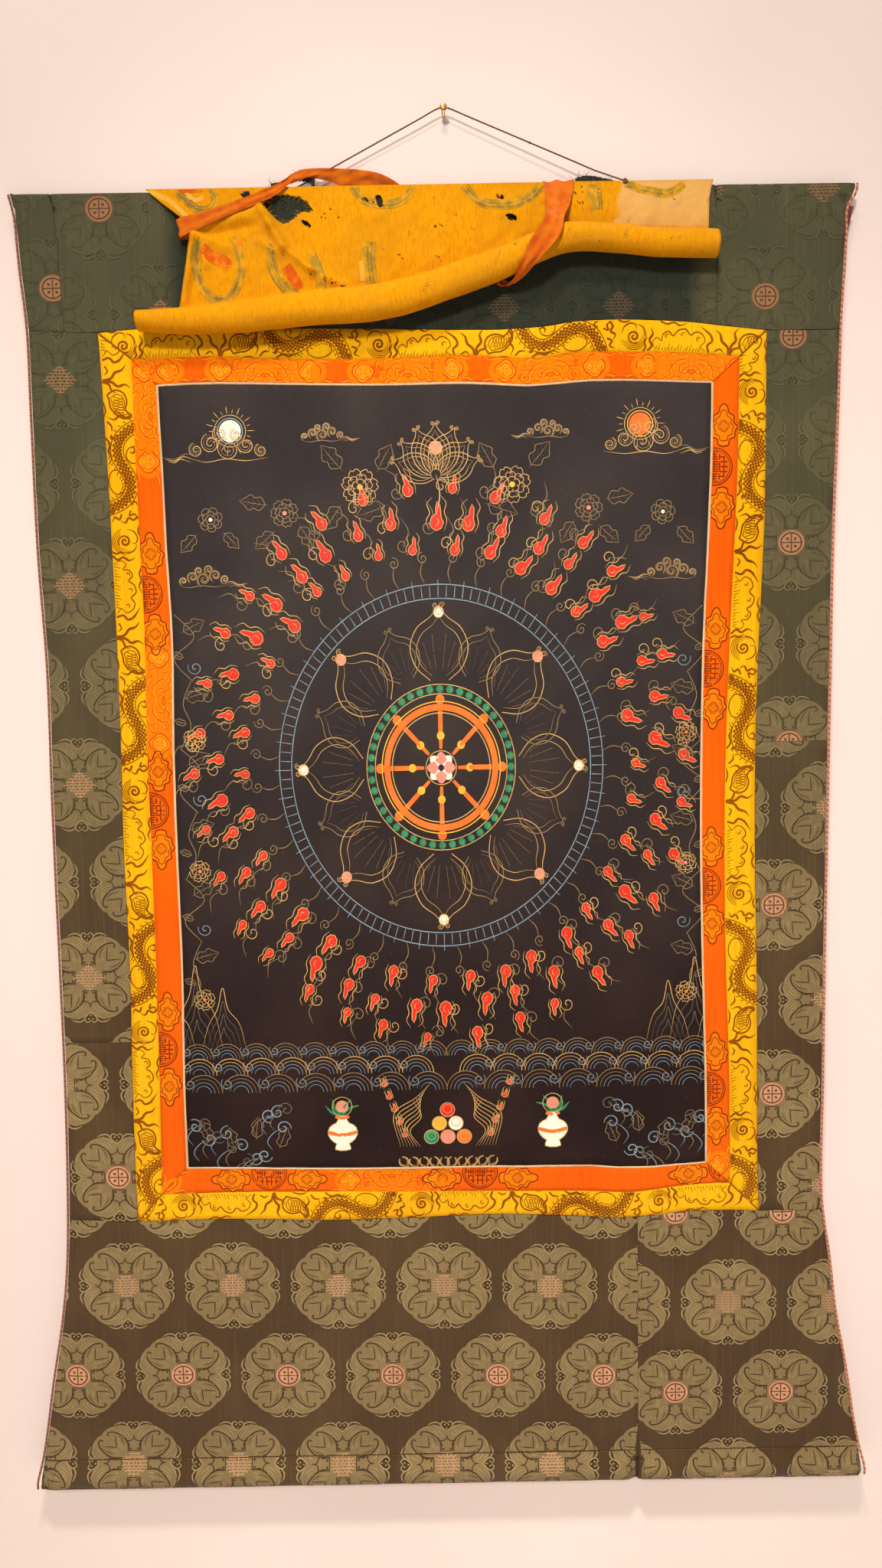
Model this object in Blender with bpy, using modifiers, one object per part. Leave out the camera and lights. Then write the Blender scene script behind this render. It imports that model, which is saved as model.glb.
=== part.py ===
"""Thangka scroll painting hung from a wall pin, with its veil rolled up.

X runs to the right, Z up and the wall is the plane y = 0, so the cloth hangs at negative y.
The origin is the back end of the pin, on the wall. Lengths are in metres.
"""
import math
from collections import namedtuple

import bmesh
import bpy

COLLECTION = "thangka_scroll_painting"
CUTTERS = "cutters"

# The scroll hangs a little to the left of its pin: this is the place of the frame that its
# tables are given in, whose x is taken from the scroll's centre line
HANGING_FRAME = (-0.014, 0.0, 0.006)

CLOTH = 0.0012
LINING = 0.001
LINING_GAP = 0.0009
LINING_STEPS = (18, 38)
VEIL = 0.001
RIBBON = 0.001
SEAM_GAP = 0.0004
# The damask pieces bend between other points than the border does, so they stand off more
DAMASK_INSET = 0.0005
CLEARANCE = 0.0005
GRID_STEP = 0.036
# The nested frames share these counts, so that their seams have the same points
FRAME_COLUMNS = 18
FRAME_ROWS = 25
TOP_ROWS = 4
FOOT_ROWS = 9
FILLET_WIDTH = 0.0024
EDGE_CORD_RADIUS = 0.0015
EDGE_CORD_STEPS = 46
EDGE_CORD_GAP = 0.0003
EDGE_CORD_STANDS_OUT = 0.0004

# Casing round the flat batten at the top
BATTEN_TOP = -0.093
BATTEN_TILT = -0.0042
CASING_HEIGHT = 0.0245
CASING_FRONT = -0.0205
CASING_BACK = -0.0055
CasingRow = namedtuple("CasingRow", "depth front_inset back_inset")
CASING_ROWS = [
    CasingRow(0.0, 0.0045, 0.0045),
    CasingRow(0.0025, 0.0015, 0.0015),
    CasingRow(0.0065, 0.0, 0.0),
    CasingRow(0.0185, 0.0, 0.0),
    CasingRow(0.0225, 0.0, 0.0040),
]

# Casing round the roller at the foot, and the stitch line above it
ROLLER_RADIUS = 0.019
ROLLER_Y = -0.021
ROLLER_Z = -1.636
STITCH_Z = ROLLER_Z + ROLLER_RADIUS + 0.004
STITCH_Y = -0.030
ROLLER_DEGREES = (40, 15, -10, -35, -60, -82)

PIN_RADIUS = 0.002
PIN_LENGTH = 0.0165
PIN_HEAD_RADIUS = 0.004
PIN_HEAD_HEIGHT = 0.0035
PIN_HEAD_RIM = 0.0012
PIN_HEAD_TOP_RADIUS = 0.0029
PIN_SIDES = 20
CORD_RADIUS = 0.001
CORD_POINTS = 74

# The cord's bends, from behind the left tab over the pin to the front of the right tab
Bend = namedtuple("Bend", "t x y z")
CORD_BENDS = [
    Bend(0.00, -0.180, -0.0085, -0.0861),
    Bend(0.45, -0.006, -0.0105, 0.0015),
    Bend(0.47, 0.000, -0.0105, 0.0037),
    Bend(0.49, 0.006, -0.0105, 0.0015),
    Bend(0.90, 0.172, -0.0165, -0.0715),
    Bend(1.00, 0.205, -0.0243, -0.0865),
]

Side = namedtuple("Side", "height left right")
SIDES = [
    Side(-0.091, -0.478, 0.478),
    Side(-0.108, -0.474, 0.477),
    Side(-0.120, -0.472, 0.469),
    Side(-0.175, -0.469, 0.466),
    Side(-0.240, -0.464, 0.462),
    Side(-0.345, -0.464, 0.460),
    Side(-0.490, -0.464, 0.456),
    Side(-0.626, -0.460, 0.455),
    Side(-0.780, -0.462, 0.454),
    Side(-0.970, -0.463, 0.453),
    Side(-1.134, -0.464, 0.453),
    Side(-1.285, -0.468, 0.453),
    Side(-1.365, -0.473, 0.464),
    Side(-1.433, -0.482, 0.472),
    Side(-1.502, -0.495, 0.485),
    Side(-1.573, -0.507, 0.496),
    Side(-1.626, -0.518, 0.507),
    Side(-1.655, -0.523, 0.511),
]

Upright = namedtuple(
    "Upright",
    "height yellow_left orange_left picture_left picture_right orange_right yellow_right",
)
UPRIGHTS = [
    Upright(-0.250, -0.385, -0.349, -0.319, 0.317, 0.349, 0.379),
    Upright(-0.310, -0.383, -0.348, -0.319, 0.316, 0.348, 0.379),
    Upright(-0.400, -0.381, -0.348, -0.317, 0.315, 0.347, 0.379),
    Upright(-0.480, -0.380, -0.347, -0.316, 0.312, 0.344, 0.378),
    Upright(-0.596, -0.379, -0.346, -0.313, 0.307, 0.339, 0.373),
    Upright(-0.725, -0.380, -0.349, -0.317, 0.305, 0.335, 0.370),
    Upright(-0.850, -0.382, -0.349, -0.318, 0.305, 0.334, 0.370),
    Upright(-0.995, -0.381, -0.349, -0.317, 0.307, 0.336, 0.373),
    Upright(-1.143, -0.384, -0.351, -0.320, 0.311, 0.341, 0.375),
    Upright(-1.238, -0.385, -0.353, -0.320, 0.312, 0.342, 0.376),
    Upright(-1.305, -0.384, -0.354, -0.321, 0.312, 0.342, 0.378),
]

Level = namedtuple(
    "Level", "x yellow_top orange_top picture_top picture_foot orange_foot yellow_foot"
)
LEVELS = [
    Level(-0.465, -0.242, -0.275, -0.307, -1.235, -1.269, -1.299),
    Level(-0.384, -0.246, -0.275, -0.307, -1.235, -1.269, -1.302),
    Level(-0.332, -0.242, -0.275, -0.307, -1.235, -1.269, -1.302),
    Level(-0.265, -0.243, -0.274, -0.305, -1.236, -1.268, -1.302),
    Level(-0.150, -0.245, -0.279, -0.308, -1.239, -1.269, -1.305),
    Level(-0.060, -0.247, -0.280, -0.310, -1.240, -1.271, -1.305),
    Level(0.040, -0.250, -0.278, -0.310, -1.240, -1.272, -1.302),
    Level(0.110, -0.249, -0.283, -0.314, -1.241, -1.273, -1.303),
    Level(0.165, -0.243, -0.277, -0.310, -1.241, -1.274, -1.306),
    Level(0.225, -0.242, -0.278, -0.310, -1.245, -1.277, -1.309),
    Level(0.295, -0.246, -0.280, -0.313, -1.241, -1.269, -1.303),
    Level(0.378, -0.256, -0.287, -0.316, -1.236, -1.267, -1.303),
    Level(0.455, -0.257, -0.287, -0.316, -1.236, -1.267, -1.303),
]

# Seams between the damask pieces of the mount
TopSeam = namedtuple("TopSeam", "height left right")
TOP_SEAMS = [
    TopSeam(-0.090, -0.436, 0.321),
    TopSeam(-0.110, -0.429, 0.321),
    TopSeam(-0.193, -0.425, 0.321),
    TopSeam(-0.260, -0.423, 0.321),
]
LEFT_SEAM_Z = -1.077
RIGHT_SEAM_Z = -0.727
FOOT_SEAM_X = 0.229

# Soft creases and bulges of the hanging cloth, each a ridge or trough along a short line
Fold = namedtuple("Fold", "x1 z1 x2 z2 width height")
CLOTH_FOLDS = [
    Fold(-0.092, -1.320, -0.096, -1.460, 0.042, -0.0020),
    Fold(-0.150, -1.360, -0.160, -1.560, 0.090, 0.0025),
    Fold(0.130, -1.350, 0.150, -1.560, 0.080, 0.0025),
    Fold(0.300, -1.340, 0.330, -1.580, 0.060, -0.0020),
    Fold(-0.380, -1.330, -0.460, -1.570, 0.060, 0.0030),
    Fold(0.405, -1.330, 0.450, -1.560, 0.050, 0.0030),
    Fold(-0.440, -0.300, -0.436, -0.900, 0.030, 0.0016),
    Fold(0.430, -0.420, 0.425, -0.860, 0.028, 0.0018),
    Fold(-0.250, -0.560, 0.240, -0.520, 0.110, 0.0028),
    Fold(-0.260, -0.800, 0.250, -0.830, 0.100, -0.0022),
    Fold(-0.240, -1.090, 0.250, -1.060, 0.110, 0.0026),
    Fold(0.150, -0.200, 0.190, -0.262, 0.040, 0.0016),
]
FOLD_FADE = 0.060

# Where the lining shows past the right edge cord
Peek = namedtuple("Peek", "height reach width")
LINING_EDGE = 0.001
LINING_HEAD_GAP = 0.0015
LINING_PEEKS = [
    Peek(-0.122, 0.0075, 0.011),
    Peek(-0.252, 0.0035, 0.016),
]

# The veil: where its roll lies, and the line of its gathered left edge
RollStation = namedtuple("RollStation", "x top foot")
ROLL = [
    RollStation(-0.334, -0.2285, -0.2505),
    RollStation(-0.300, -0.2270, -0.2540),
    RollStation(-0.223, -0.2195, -0.2545),
    RollStation(-0.145, -0.2105, -0.2485),
    RollStation(-0.046, -0.2010, -0.2410),
    RollStation(0.028, -0.1810, -0.2190),
    RollStation(0.080, -0.1640, -0.2010),
    RollStation(0.114, -0.1515, -0.1860),
    RollStation(0.150, -0.1420, -0.1740),
    RollStation(0.203, -0.1450, -0.1750),
    RollStation(0.249, -0.1490, -0.1800),
    RollStation(0.317, -0.1525, -0.1825),
]
ROLL_DEPTH_RADIUS = 0.0185
ROLL_BACK_Y = -0.0243
VeilSide = namedtuple("VeilSide", "height left right")
VEIL_SIDES = [
    VeilSide(-0.090, -0.325, 0.317),
    VeilSide(-0.112, -0.300, 0.312),
    VeilSide(-0.130, -0.280, 0.311),
    VeilSide(-0.140, -0.274, 0.311),
    VeilSide(-0.160, -0.277, 0.311),
    VeilSide(-0.192, -0.282, 0.311),
    VeilSide(-0.226, -0.290, 0.311),
]
VEIL_GATHER_REACH = 0.30
VEIL_EDGE_REACH = 0.10
VEIL_RISE = 0.0015
VEIL_OVER_ROLL = 0.0012
VEIL_BELLY = 0.0030
VEIL_TOP_Y = CASING_FRONT - CLEARANCE - VEIL
ROLL_DEGREES = (88, 62, 36, 10, -16, -42, -66, -84)
VEIL_FOLDS = [
    Fold(-0.275, -0.139, -0.180, -0.125, 0.012, 0.0040),
    Fold(-0.272, -0.142, -0.205, -0.180, 0.011, 0.0035),
    Fold(-0.310, -0.104, -0.276, -0.140, 0.010, 0.0040),
    Fold(-0.278, -0.142, -0.283, -0.215, 0.012, 0.0040),
    Fold(-0.195, -0.123, -0.145, -0.190, 0.012, 0.0045),
    Fold(-0.060, -0.120, -0.020, -0.190, 0.035, 0.0025),
    Fold(0.080, -0.110, 0.060, -0.150, 0.020, 0.0022),
    Fold(0.160, -0.105, 0.165, -0.140, 0.018, 0.0025),
    Fold(0.240, -0.105, 0.245, -0.145, 0.025, 0.0020),
]
VEIL_COLUMNS = 34
VEIL_ROWS = 7

# Holes worn through the veil, each an outline round its rim
BIG_HOLE = [
    (-0.196, -0.1095), (-0.186, -0.1035), (-0.175, -0.1000), (-0.160, -0.1005),
    (-0.147, -0.1045), (-0.139, -0.1110), (-0.137, -0.1190), (-0.149, -0.1200),
    (-0.155, -0.1245), (-0.160, -0.1290), (-0.174, -0.1300), (-0.182, -0.1230),
]
Hole = namedtuple("Hole", "x z half_width half_height turn")
SMALL_HOLES = [
    Hole(-0.2100, -0.1000, 0.0050, 0.0062, 0.3),
    Hole(-0.1430, -0.1325, 0.0065, 0.0026, -0.6),
    Hole(-0.0600, -0.1090, 0.0036, 0.0080, 0.2),
    Hole(0.0880, -0.1300, 0.0070, 0.0036, -0.3),
]
HOLE_SIDES = 8
CUTTER_REACH = 0.04

# Ribbons and tabs are strips ruled between two edges, a and b
Strip = namedtuple("Strip", "ax ay az bx by bz")
Stop = namedtuple("Stop", "t value")
LEFT_RIBBON = [
    Strip(-0.2550, -0.0235, -0.1290, -0.2560, -0.0235, -0.1440),
    Strip(-0.2700, -0.0238, -0.1300, -0.2710, -0.0238, -0.1460),
    Strip(-0.2860, -0.0280, -0.1300, -0.2840, -0.0280, -0.1480),
    Strip(-0.2835, -0.0370, -0.1285, -0.2790, -0.0370, -0.1470),
    Strip(-0.2540, -0.0385, -0.1220, -0.2500, -0.0385, -0.1350),
    Strip(-0.2110, -0.0350, -0.1070, -0.2110, -0.0350, -0.1180),
    Strip(-0.1810, -0.0310, -0.0940, -0.1810, -0.0310, -0.1050),
    Strip(-0.1650, -0.0250, -0.0830, -0.1640, -0.0270, -0.0920),
    Strip(-0.1590, -0.0205, -0.0765, -0.1560, -0.0215, -0.0870),
    Strip(-0.1420, -0.0165, -0.0700, -0.1400, -0.0150, -0.0795),
    Strip(-0.1180, -0.0140, -0.0685, -0.1220, -0.0110, -0.0800),
    Strip(-0.0870, -0.0120, -0.0690, -0.1040, -0.0080, -0.0850),
    Strip(-0.0600, -0.0100, -0.0730, -0.0880, -0.0050, -0.0860),
    Strip(-0.0400, -0.0060, -0.0820, -0.0740, -0.0040, -0.0890),
    Strip(-0.0260, -0.0036, -0.0945, -0.0640, -0.0036, -0.0990),
    Strip(-0.0240, -0.0036, -0.1080, -0.0620, -0.0036, -0.1110),
]
RIGHT_RIBBON = [
    Strip(0.1250, -0.0036, -0.1080, 0.1595, -0.0036, -0.1080),
    Strip(0.1250, -0.0040, -0.0950, 0.1595, -0.0040, -0.0950),
    Strip(0.1250, -0.0090, -0.0905, 0.1595, -0.0090, -0.0905),
    Strip(0.1250, -0.0190, -0.0898, 0.1595, -0.0190, -0.0898),
    Strip(0.1250, -0.0258, -0.0935, 0.1590, -0.0258, -0.0935),
    Strip(0.1250, -0.0330, -0.1100, 0.1560, -0.0320, -0.1110),
    Strip(0.1250, -0.0450, -0.1270, 0.1500, -0.0430, -0.1290),
    Strip(0.1235, -0.0600, -0.1400, 0.1440, -0.0590, -0.1430),
    Strip(0.1180, -0.0655, -0.1520, 0.1405, -0.0650, -0.1600),
    Strip(0.1060, -0.0650, -0.1680, 0.1300, -0.0640, -0.1740),
    Strip(0.0950, -0.0595, -0.1900, 0.1150, -0.0580, -0.1870),
    Strip(0.0880, -0.0420, -0.2010, 0.1030, -0.0420, -0.1955),
    Strip(0.0780, -0.0280, -0.2045, 0.0910, -0.0280, -0.2000),
    Strip(0.0700, -0.0226, -0.2000, 0.0830, -0.0226, -0.1960),
]
LEFT_TAB = [
    Strip(-0.1830, -0.0130, -0.0835, -0.1830, -0.0130, -0.0918),
    Strip(-0.1640, -0.0130, -0.0800, -0.1640, -0.0130, -0.0919),
    Strip(-0.1430, -0.0120, -0.0700, -0.1460, -0.0125, -0.0920),
    Strip(-0.1330, -0.0115, -0.0750, -0.1340, -0.0120, -0.0920),
]
RIGHT_TAB = [
    Strip(0.1620, -0.0140, -0.0840, 0.1620, -0.0140, -0.0933),
    Strip(0.1760, -0.0135, -0.0815, 0.1760, -0.0140, -0.0933),
    Strip(0.1980, -0.0130, -0.0855, 0.1980, -0.0140, -0.0934),
    Strip(0.2140, -0.0130, -0.0900, 0.2140, -0.0140, -0.0935),
]
TAB = 0.002

# Where an object goes: its collection, and the frame that its coordinates are given in
Home = namedtuple("Home", "collection frame")

Colour = namedtuple("Colour", "red green blue roughness metallic")
DAMASK = Colour(0.055, 0.050, 0.030, 0.62, 0.0)
YELLOW_SILK = Colour(0.80, 0.48, 0.05, 0.50, 0.0)
ORANGE_SILK = Colour(0.80, 0.20, 0.02, 0.50, 0.0)
CREAM_SILK = Colour(0.80, 0.72, 0.52, 0.60, 0.0)
CANVAS = Colour(0.012, 0.012, 0.020, 0.70, 0.0)
RED_LINING = Colour(0.22, 0.02, 0.02, 0.70, 0.0)
VEIL_SILK = Colour(0.82, 0.48, 0.06, 0.45, 0.0)
RIBBON_SILK = Colour(0.85, 0.24, 0.03, 0.45, 0.0)
BLACK_CLOTH = Colour(0.015, 0.015, 0.015, 0.90, 0.0)
PEACH_CORD = Colour(0.60, 0.28, 0.18, 0.70, 0.0)
BROWN_CORD = Colour(0.16, 0.05, 0.03, 0.70, 0.0)
BRASS = Colour(0.60, 0.45, 0.18, 0.35, 1.0)


def clear_scene():
    for thing in list(bpy.data.objects):
        bpy.data.objects.remove(thing, do_unlink=True)


def new_collection(name):
    collection = bpy.data.collections.new(name)
    bpy.context.scene.collection.children.link(collection)
    return collection


def material(name, colour):
    made = bpy.data.materials.new(name)
    made.use_nodes = True
    shader = made.node_tree.nodes["Principled BSDF"]
    shader.inputs["Base Color"].default_value = (colour.red, colour.green, colour.blue, 1.0)
    shader.inputs["Roughness"].default_value = colour.roughness
    shader.inputs["Metallic"].default_value = colour.metallic
    return made


def add_object(name, data, colour, home):
    made = bpy.data.objects.new(name, data)
    home.collection.objects.link(made)
    made.parent = home.frame
    made.data.materials.append(material(name, colour))
    return made


def mix(start, end, t):
    return start + (end - start) * t


def through(rows, at, value, where):
    """The smooth curve through a table's rows, read at one place."""
    stops = sorted((getattr(row, at), getattr(row, value)) for row in rows)
    where = min(max(where, stops[0][0]), stops[-1][0])
    index = 0
    while index < len(stops) - 2 and where > stops[index + 1][0]:
        index += 1
    (p, q), (r, s) = stops[index], stops[index + 1]
    (o, n) = stops[max(index - 1, 0)]
    (t, u) = stops[min(index + 2, len(stops) - 1)]
    slope_in = (s - n) / (r - o)
    slope_out = (u - q) / (t - p)
    span = r - p
    k = (where - p) / span
    rise = (2 * k**3 - 3 * k**2 + 1) * q + (k**3 - 2 * k**2 + k) * span * slope_in
    return rise + (3 * k**2 - 2 * k**3) * s + (k**3 - k**2) * span * slope_out


def upright(name):
    return lambda z: through(UPRIGHTS, "height", name, z)


def level(name):
    return lambda x: through(LEVELS, "x", name, x)


def side(name):
    return lambda z: through(SIDES, "height", name, z)


def top_seam(name):
    return lambda z: through(TOP_SEAMS, "height", name, z)


def picture_upright(name, outwards):
    seam = upright(name)
    return lambda z: seam(z) + outwards * FILLET_WIDTH


def picture_level(name, outwards):
    seam = level(name)
    return lambda x: seam(x) + outwards * FILLET_WIDTH


def batten_top(x):
    return BATTEN_TOP + BATTEN_TILT * x


def fold_height(folds, x, z):
    total = 0.0
    for fold in folds:
        run = (fold.x2 - fold.x1, fold.z2 - fold.z1)
        reach = run[0]**2 + run[1]**2
        t = ((x - fold.x1) * run[0] + (z - fold.z1) * run[1]) / reach
        t = min(1.0, max(0.0, t))
        away = math.hypot(x - mix(fold.x1, fold.x2, t), z - mix(fold.z1, fold.z2, t))
        total += fold.height * math.exp(-(away / fold.width)**2)
    return total


def front(x, z):
    """The y of the hanging cloth's front face."""
    head = batten_top(x) - CASING_HEIGHT
    drop = min(1.0, max(0.0, (head - z) / (head - STITCH_Z)))
    fade = min(1.0, max(0.0, (head - z) / FOLD_FADE), max(0.0, (z - STITCH_Z) / FOLD_FADE))
    return mix(CASING_FRONT, STITCH_Y, drop) - fade * fold_height(CLOTH_FOLDS, x, z)


def roller_section():
    """Rows of z, front y and back y from the stitch line down round the roller."""
    rows = []
    for angle in ROLLER_DEGREES:
        turn = math.radians(angle)
        out = ROLLER_RADIUS * math.cos(turn)
        rows.append((ROLLER_Z + ROLLER_RADIUS * math.sin(turn), ROLLER_Y - out, ROLLER_Y + out))
    return rows


def casing_section():
    """Rows of depth below the batten's top, front y and back y."""
    return [
        (row.depth, CASING_FRONT + row.front_inset, CASING_BACK - row.back_inset)
        for row in CASING_ROWS
    ]


def crossing(level_seam, upright_seam, x):
    """The corner where a level seam meets an upright one."""
    z = level_seam(x)
    for _ in range(6):
        x = upright_seam(z)
        z = level_seam(x)
    return x, z


def along_level(seam, start, end):
    return lambda t: (mix(start[0], end[0], t), seam(mix(start[0], end[0], t)))


def along_upright(seam, foot, head):
    return lambda t: (seam(mix(foot[1], head[1], t)), mix(foot[1], head[1], t))


def straight(start, end):
    return lambda t: (mix(start[0], end[0], t), mix(start[1], end[1], t))


class Patch:
    """A piece's outline: four edges, blended over its inside."""

    def __init__(self, foot, head, left, right):
        self.foot, self.head, self.left, self.right = foot, head, left, right
        self.width = math.dist(left(0.5), right(0.5))
        self.height = math.dist(foot(0.5), head(0.5))

    def at(self, u, v):
        u = mix(SEAM_GAP / 2 / self.width, 1 - SEAM_GAP / 2 / self.width, u)
        v = mix(SEAM_GAP / 2 / self.height, 1 - SEAM_GAP / 2 / self.height, v)
        point = []
        for axis in (0, 1):
            ruled = mix(self.foot(u)[axis], self.head(u)[axis], v)
            ruled += mix(self.left(v)[axis], self.right(v)[axis], u)
            low = mix(self.foot(0)[axis], self.foot(1)[axis], u)
            high = mix(self.head(0)[axis], self.head(1)[axis], u)
            point.append(ruled - mix(low, high, v))
        return point[0], point[1]


def seam_patch(foot_seam, head_seam, left_seam, right_seam):
    """A piece between two level and two upright seams."""
    foot_left = crossing(foot_seam, left_seam, 0)
    foot_right = crossing(foot_seam, right_seam, 0)
    head_left = crossing(head_seam, left_seam, 0)
    head_right = crossing(head_seam, right_seam, 0)
    return Patch(
        along_level(foot_seam, foot_left, foot_right),
        along_level(head_seam, head_left, head_right),
        along_upright(left_seam, foot_left, head_left),
        along_upright(right_seam, foot_right, head_right),
    )


def thicken(made, thickness, offset):
    solid = made.modifiers.new("thickness", "SOLIDIFY")
    solid.thickness = thickness
    solid.offset = offset
    solid.use_even_offset = False


def grid_mesh(name, columns, rows, place):
    """A grid whose points are moved to place(u, v), with u to the right and v upwards."""
    mesh = bpy.data.meshes.new(name)
    shape = bmesh.new()
    bmesh.ops.create_grid(shape, x_segments=columns, y_segments=rows, size=0.5)
    for vert in shape.verts:
        vert.co = place(vert.co.x + 0.5, vert.co.y + 0.5)
    shape.to_mesh(mesh)
    shape.free()
    return mesh


def cloth_sheet(name, patch, steps, colour, home):
    """A sheet of cloth on the common hanging surface, with its numbers of columns and rows."""
    def place(u, v):
        x, z = patch.at(u, v)
        return x, front(x, z), z

    made = add_object(name, grid_mesh(name, *steps, place), colour, home)
    thicken(made, CLOTH, -1.0)


def even_steps(patch):
    return max(1, round(patch.width / GRID_STEP)), max(1, round(patch.height / GRID_STEP))


def loft(name, rings, colour, home):
    """A closed solid through rings, whose first half is the front and second half the back."""
    count = len(rings[0])
    half = count // 2
    mesh = bpy.data.meshes.new(name)
    shape = bmesh.new()
    loops = [[shape.verts.new(point) for point in ring] for ring in rings]
    for left, right in zip(loops, loops[1:]):
        for i in range(count):
            j = (i + 1) % count
            shape.faces.new((left[i], left[j], right[j], right[i]))
    for loop, first in ((loops[0], True), (loops[-1], False)):
        for i in range(half - 1):
            cap = [loop[i], loop[count - 1 - i], loop[count - 2 - i], loop[i + 1]]
            shape.faces.new(cap if first else cap[::-1])
    bmesh.ops.recalc_face_normals(shape, faces=shape.faces)
    shape.to_mesh(mesh)
    shape.free()
    return add_object(name, mesh, colour, home)


def ring_of(rows):
    """A ring down the front points of the rows and back up their back points."""
    fronts = [(x, front_y, z) for x, front_y, _, z in rows]
    backs = [(x, back_y, z) for x, _, back_y, z in rows]
    return fronts + backs[::-1]


def inset_between(left, right, z, t):
    width = right(z) - left(z)
    return left(z) + SEAM_GAP / 2 + (width - SEAM_GAP) * t


def top_piece(name, left, right, colour, home):
    """Damask from the yellow border's seam up to and round the batten."""
    foot = level("yellow_top")
    columns = max(2, round((right(-0.2) - left(-0.2)) / GRID_STEP))
    rings = []
    for i in range(columns + 1):
        t = i / columns
        rows = []
        x = inset_between(left, right, BATTEN_TOP, t)
        top = batten_top(x)
        for depth, front_y, back_y in casing_section():
            x = inset_between(left, right, top - depth, t)
            rows.append((x, front_y, back_y, top - depth))
        head_z = top - CASING_HEIGHT
        foot_x = inset_between(left, right, -0.25, t)
        foot_z = foot(foot_x) + DAMASK_INSET
        for k in range(TOP_ROWS + 1):
            z = mix(head_z, foot_z, k / TOP_ROWS)
            x = inset_between(left, right, z, t)
            rows.append((x, front(x, z), front(x, z) + CLOTH, z))
        rings.append(ring_of(rows))
    return loft(name, rings, colour, home)


def foot_piece(name, left, right, colour, home):
    """Damask from the yellow border's foot seam down to and round the roller."""
    head = level("yellow_foot")
    columns = max(2, round((right(-1.5) - left(-1.5)) / GRID_STEP))
    rings = []
    for i in range(columns + 1):
        t = i / columns
        rows = []
        head_x = inset_between(left, right, -1.303, t)
        head_z = head(head_x) - DAMASK_INSET
        for k in range(FOOT_ROWS + 1):
            z = mix(head_z, STITCH_Z, k / FOOT_ROWS)
            x = inset_between(left, right, z, t)
            rows.append((x, front(x, z), front(x, z) + CLOTH, z))
        for z, front_y, back_y in roller_section():
            rows.append((inset_between(left, right, z, t), front_y, back_y, z))
        rings.append(ring_of(rows))
    return loft(name, rings, colour, home)


def mitred_border(name, outer, inner, colour, home):
    """Four strips between two frames of seams, each frame given as left, right, foot, head."""
    corners = []
    for left, right, foot, head in (outer, inner):
        corners.append({
            "foot_left": crossing(foot, left, 0),
            "foot_right": crossing(foot, right, 0),
            "head_left": crossing(head, left, 0),
            "head_right": crossing(head, right, 0),
        })
    out, into = corners
    strips = {
        "top": Patch(
            along_level(inner[3], into["head_left"], into["head_right"]),
            along_level(outer[3], out["head_left"], out["head_right"]),
            straight(into["head_left"], out["head_left"]),
            straight(into["head_right"], out["head_right"]),
        ),
        "foot": Patch(
            along_level(outer[2], out["foot_left"], out["foot_right"]),
            along_level(inner[2], into["foot_left"], into["foot_right"]),
            straight(out["foot_left"], into["foot_left"]),
            straight(out["foot_right"], into["foot_right"]),
        ),
        "left": Patch(
            straight(out["foot_left"], into["foot_left"]),
            straight(out["head_left"], into["head_left"]),
            along_upright(outer[0], out["foot_left"], out["head_left"]),
            along_upright(inner[0], into["foot_left"], into["head_left"]),
        ),
        "right": Patch(
            straight(into["foot_right"], out["foot_right"]),
            straight(into["head_right"], out["head_right"]),
            along_upright(inner[1], into["foot_right"], into["head_right"]),
            along_upright(outer[1], out["foot_right"], out["head_right"]),
        ),
    }
    for place, patch in strips.items():
        steps = (FRAME_COLUMNS, 1) if place in ("top", "foot") else (1, FRAME_ROWS)
        cloth_sheet(f"{name}_{place}", patch, steps, colour, home)


def make_picture_and_borders(home):
    yellow = (upright("yellow_left"), upright("yellow_right"),
              level("yellow_foot"), level("yellow_top"))
    orange = (upright("orange_left"), upright("orange_right"),
              level("orange_foot"), level("orange_top"))
    fillet = (picture_upright("picture_left", -1), picture_upright("picture_right", 1),
              picture_level("picture_foot", -1), picture_level("picture_top", 1))
    picture = (upright("picture_left"), upright("picture_right"),
               level("picture_foot"), level("picture_top"))
    mitred_border("yellow_border", yellow, orange, YELLOW_SILK, home)
    mitred_border("orange_border", orange, fillet, ORANGE_SILK, home)
    mitred_border("fillet", fillet, picture, CREAM_SILK, home)
    canvas = seam_patch(picture[2], picture[3], picture[0], picture[1])
    cloth_sheet("painting", canvas, (FRAME_COLUMNS, FRAME_ROWS), CANVAS, home)


def make_mount(home):
    left, right = side("left"), side("right")
    seam_left, seam_right = top_seam("left"), top_seam("right")
    top_piece("mount_top_left", left, seam_left, DAMASK, home)
    top_piece("mount_top_centre", seam_left, seam_right, DAMASK, home)
    top_piece("mount_top_right", seam_right, right, DAMASK, home)

    head, foot = level("yellow_top"), level("yellow_foot")
    inner_left, inner_right = upright("yellow_left"), upright("yellow_right")
    uppers = (
        ("mount_left", left, inner_left, LEFT_SEAM_Z),
        ("mount_right", inner_right, right, RIGHT_SEAM_Z),
    )
    for name, outer, inner, seam_z in uppers:
        def cross_seam(x, height=seam_z):
            return height

        upper = seam_patch(cross_seam, head, outer, inner)
        lower = seam_patch(foot, cross_seam, outer, inner)
        cloth_sheet(f"{name}_upper", upper, even_steps(upper), DAMASK, home)
        cloth_sheet(f"{name}_lower", lower, even_steps(lower), DAMASK, home)

    def foot_seam(z):
        return FOOT_SEAM_X

    foot_piece("mount_foot_left", left, foot_seam, DAMASK, home)
    foot_piece("mount_foot_right", foot_seam, right, DAMASK, home)


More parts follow.
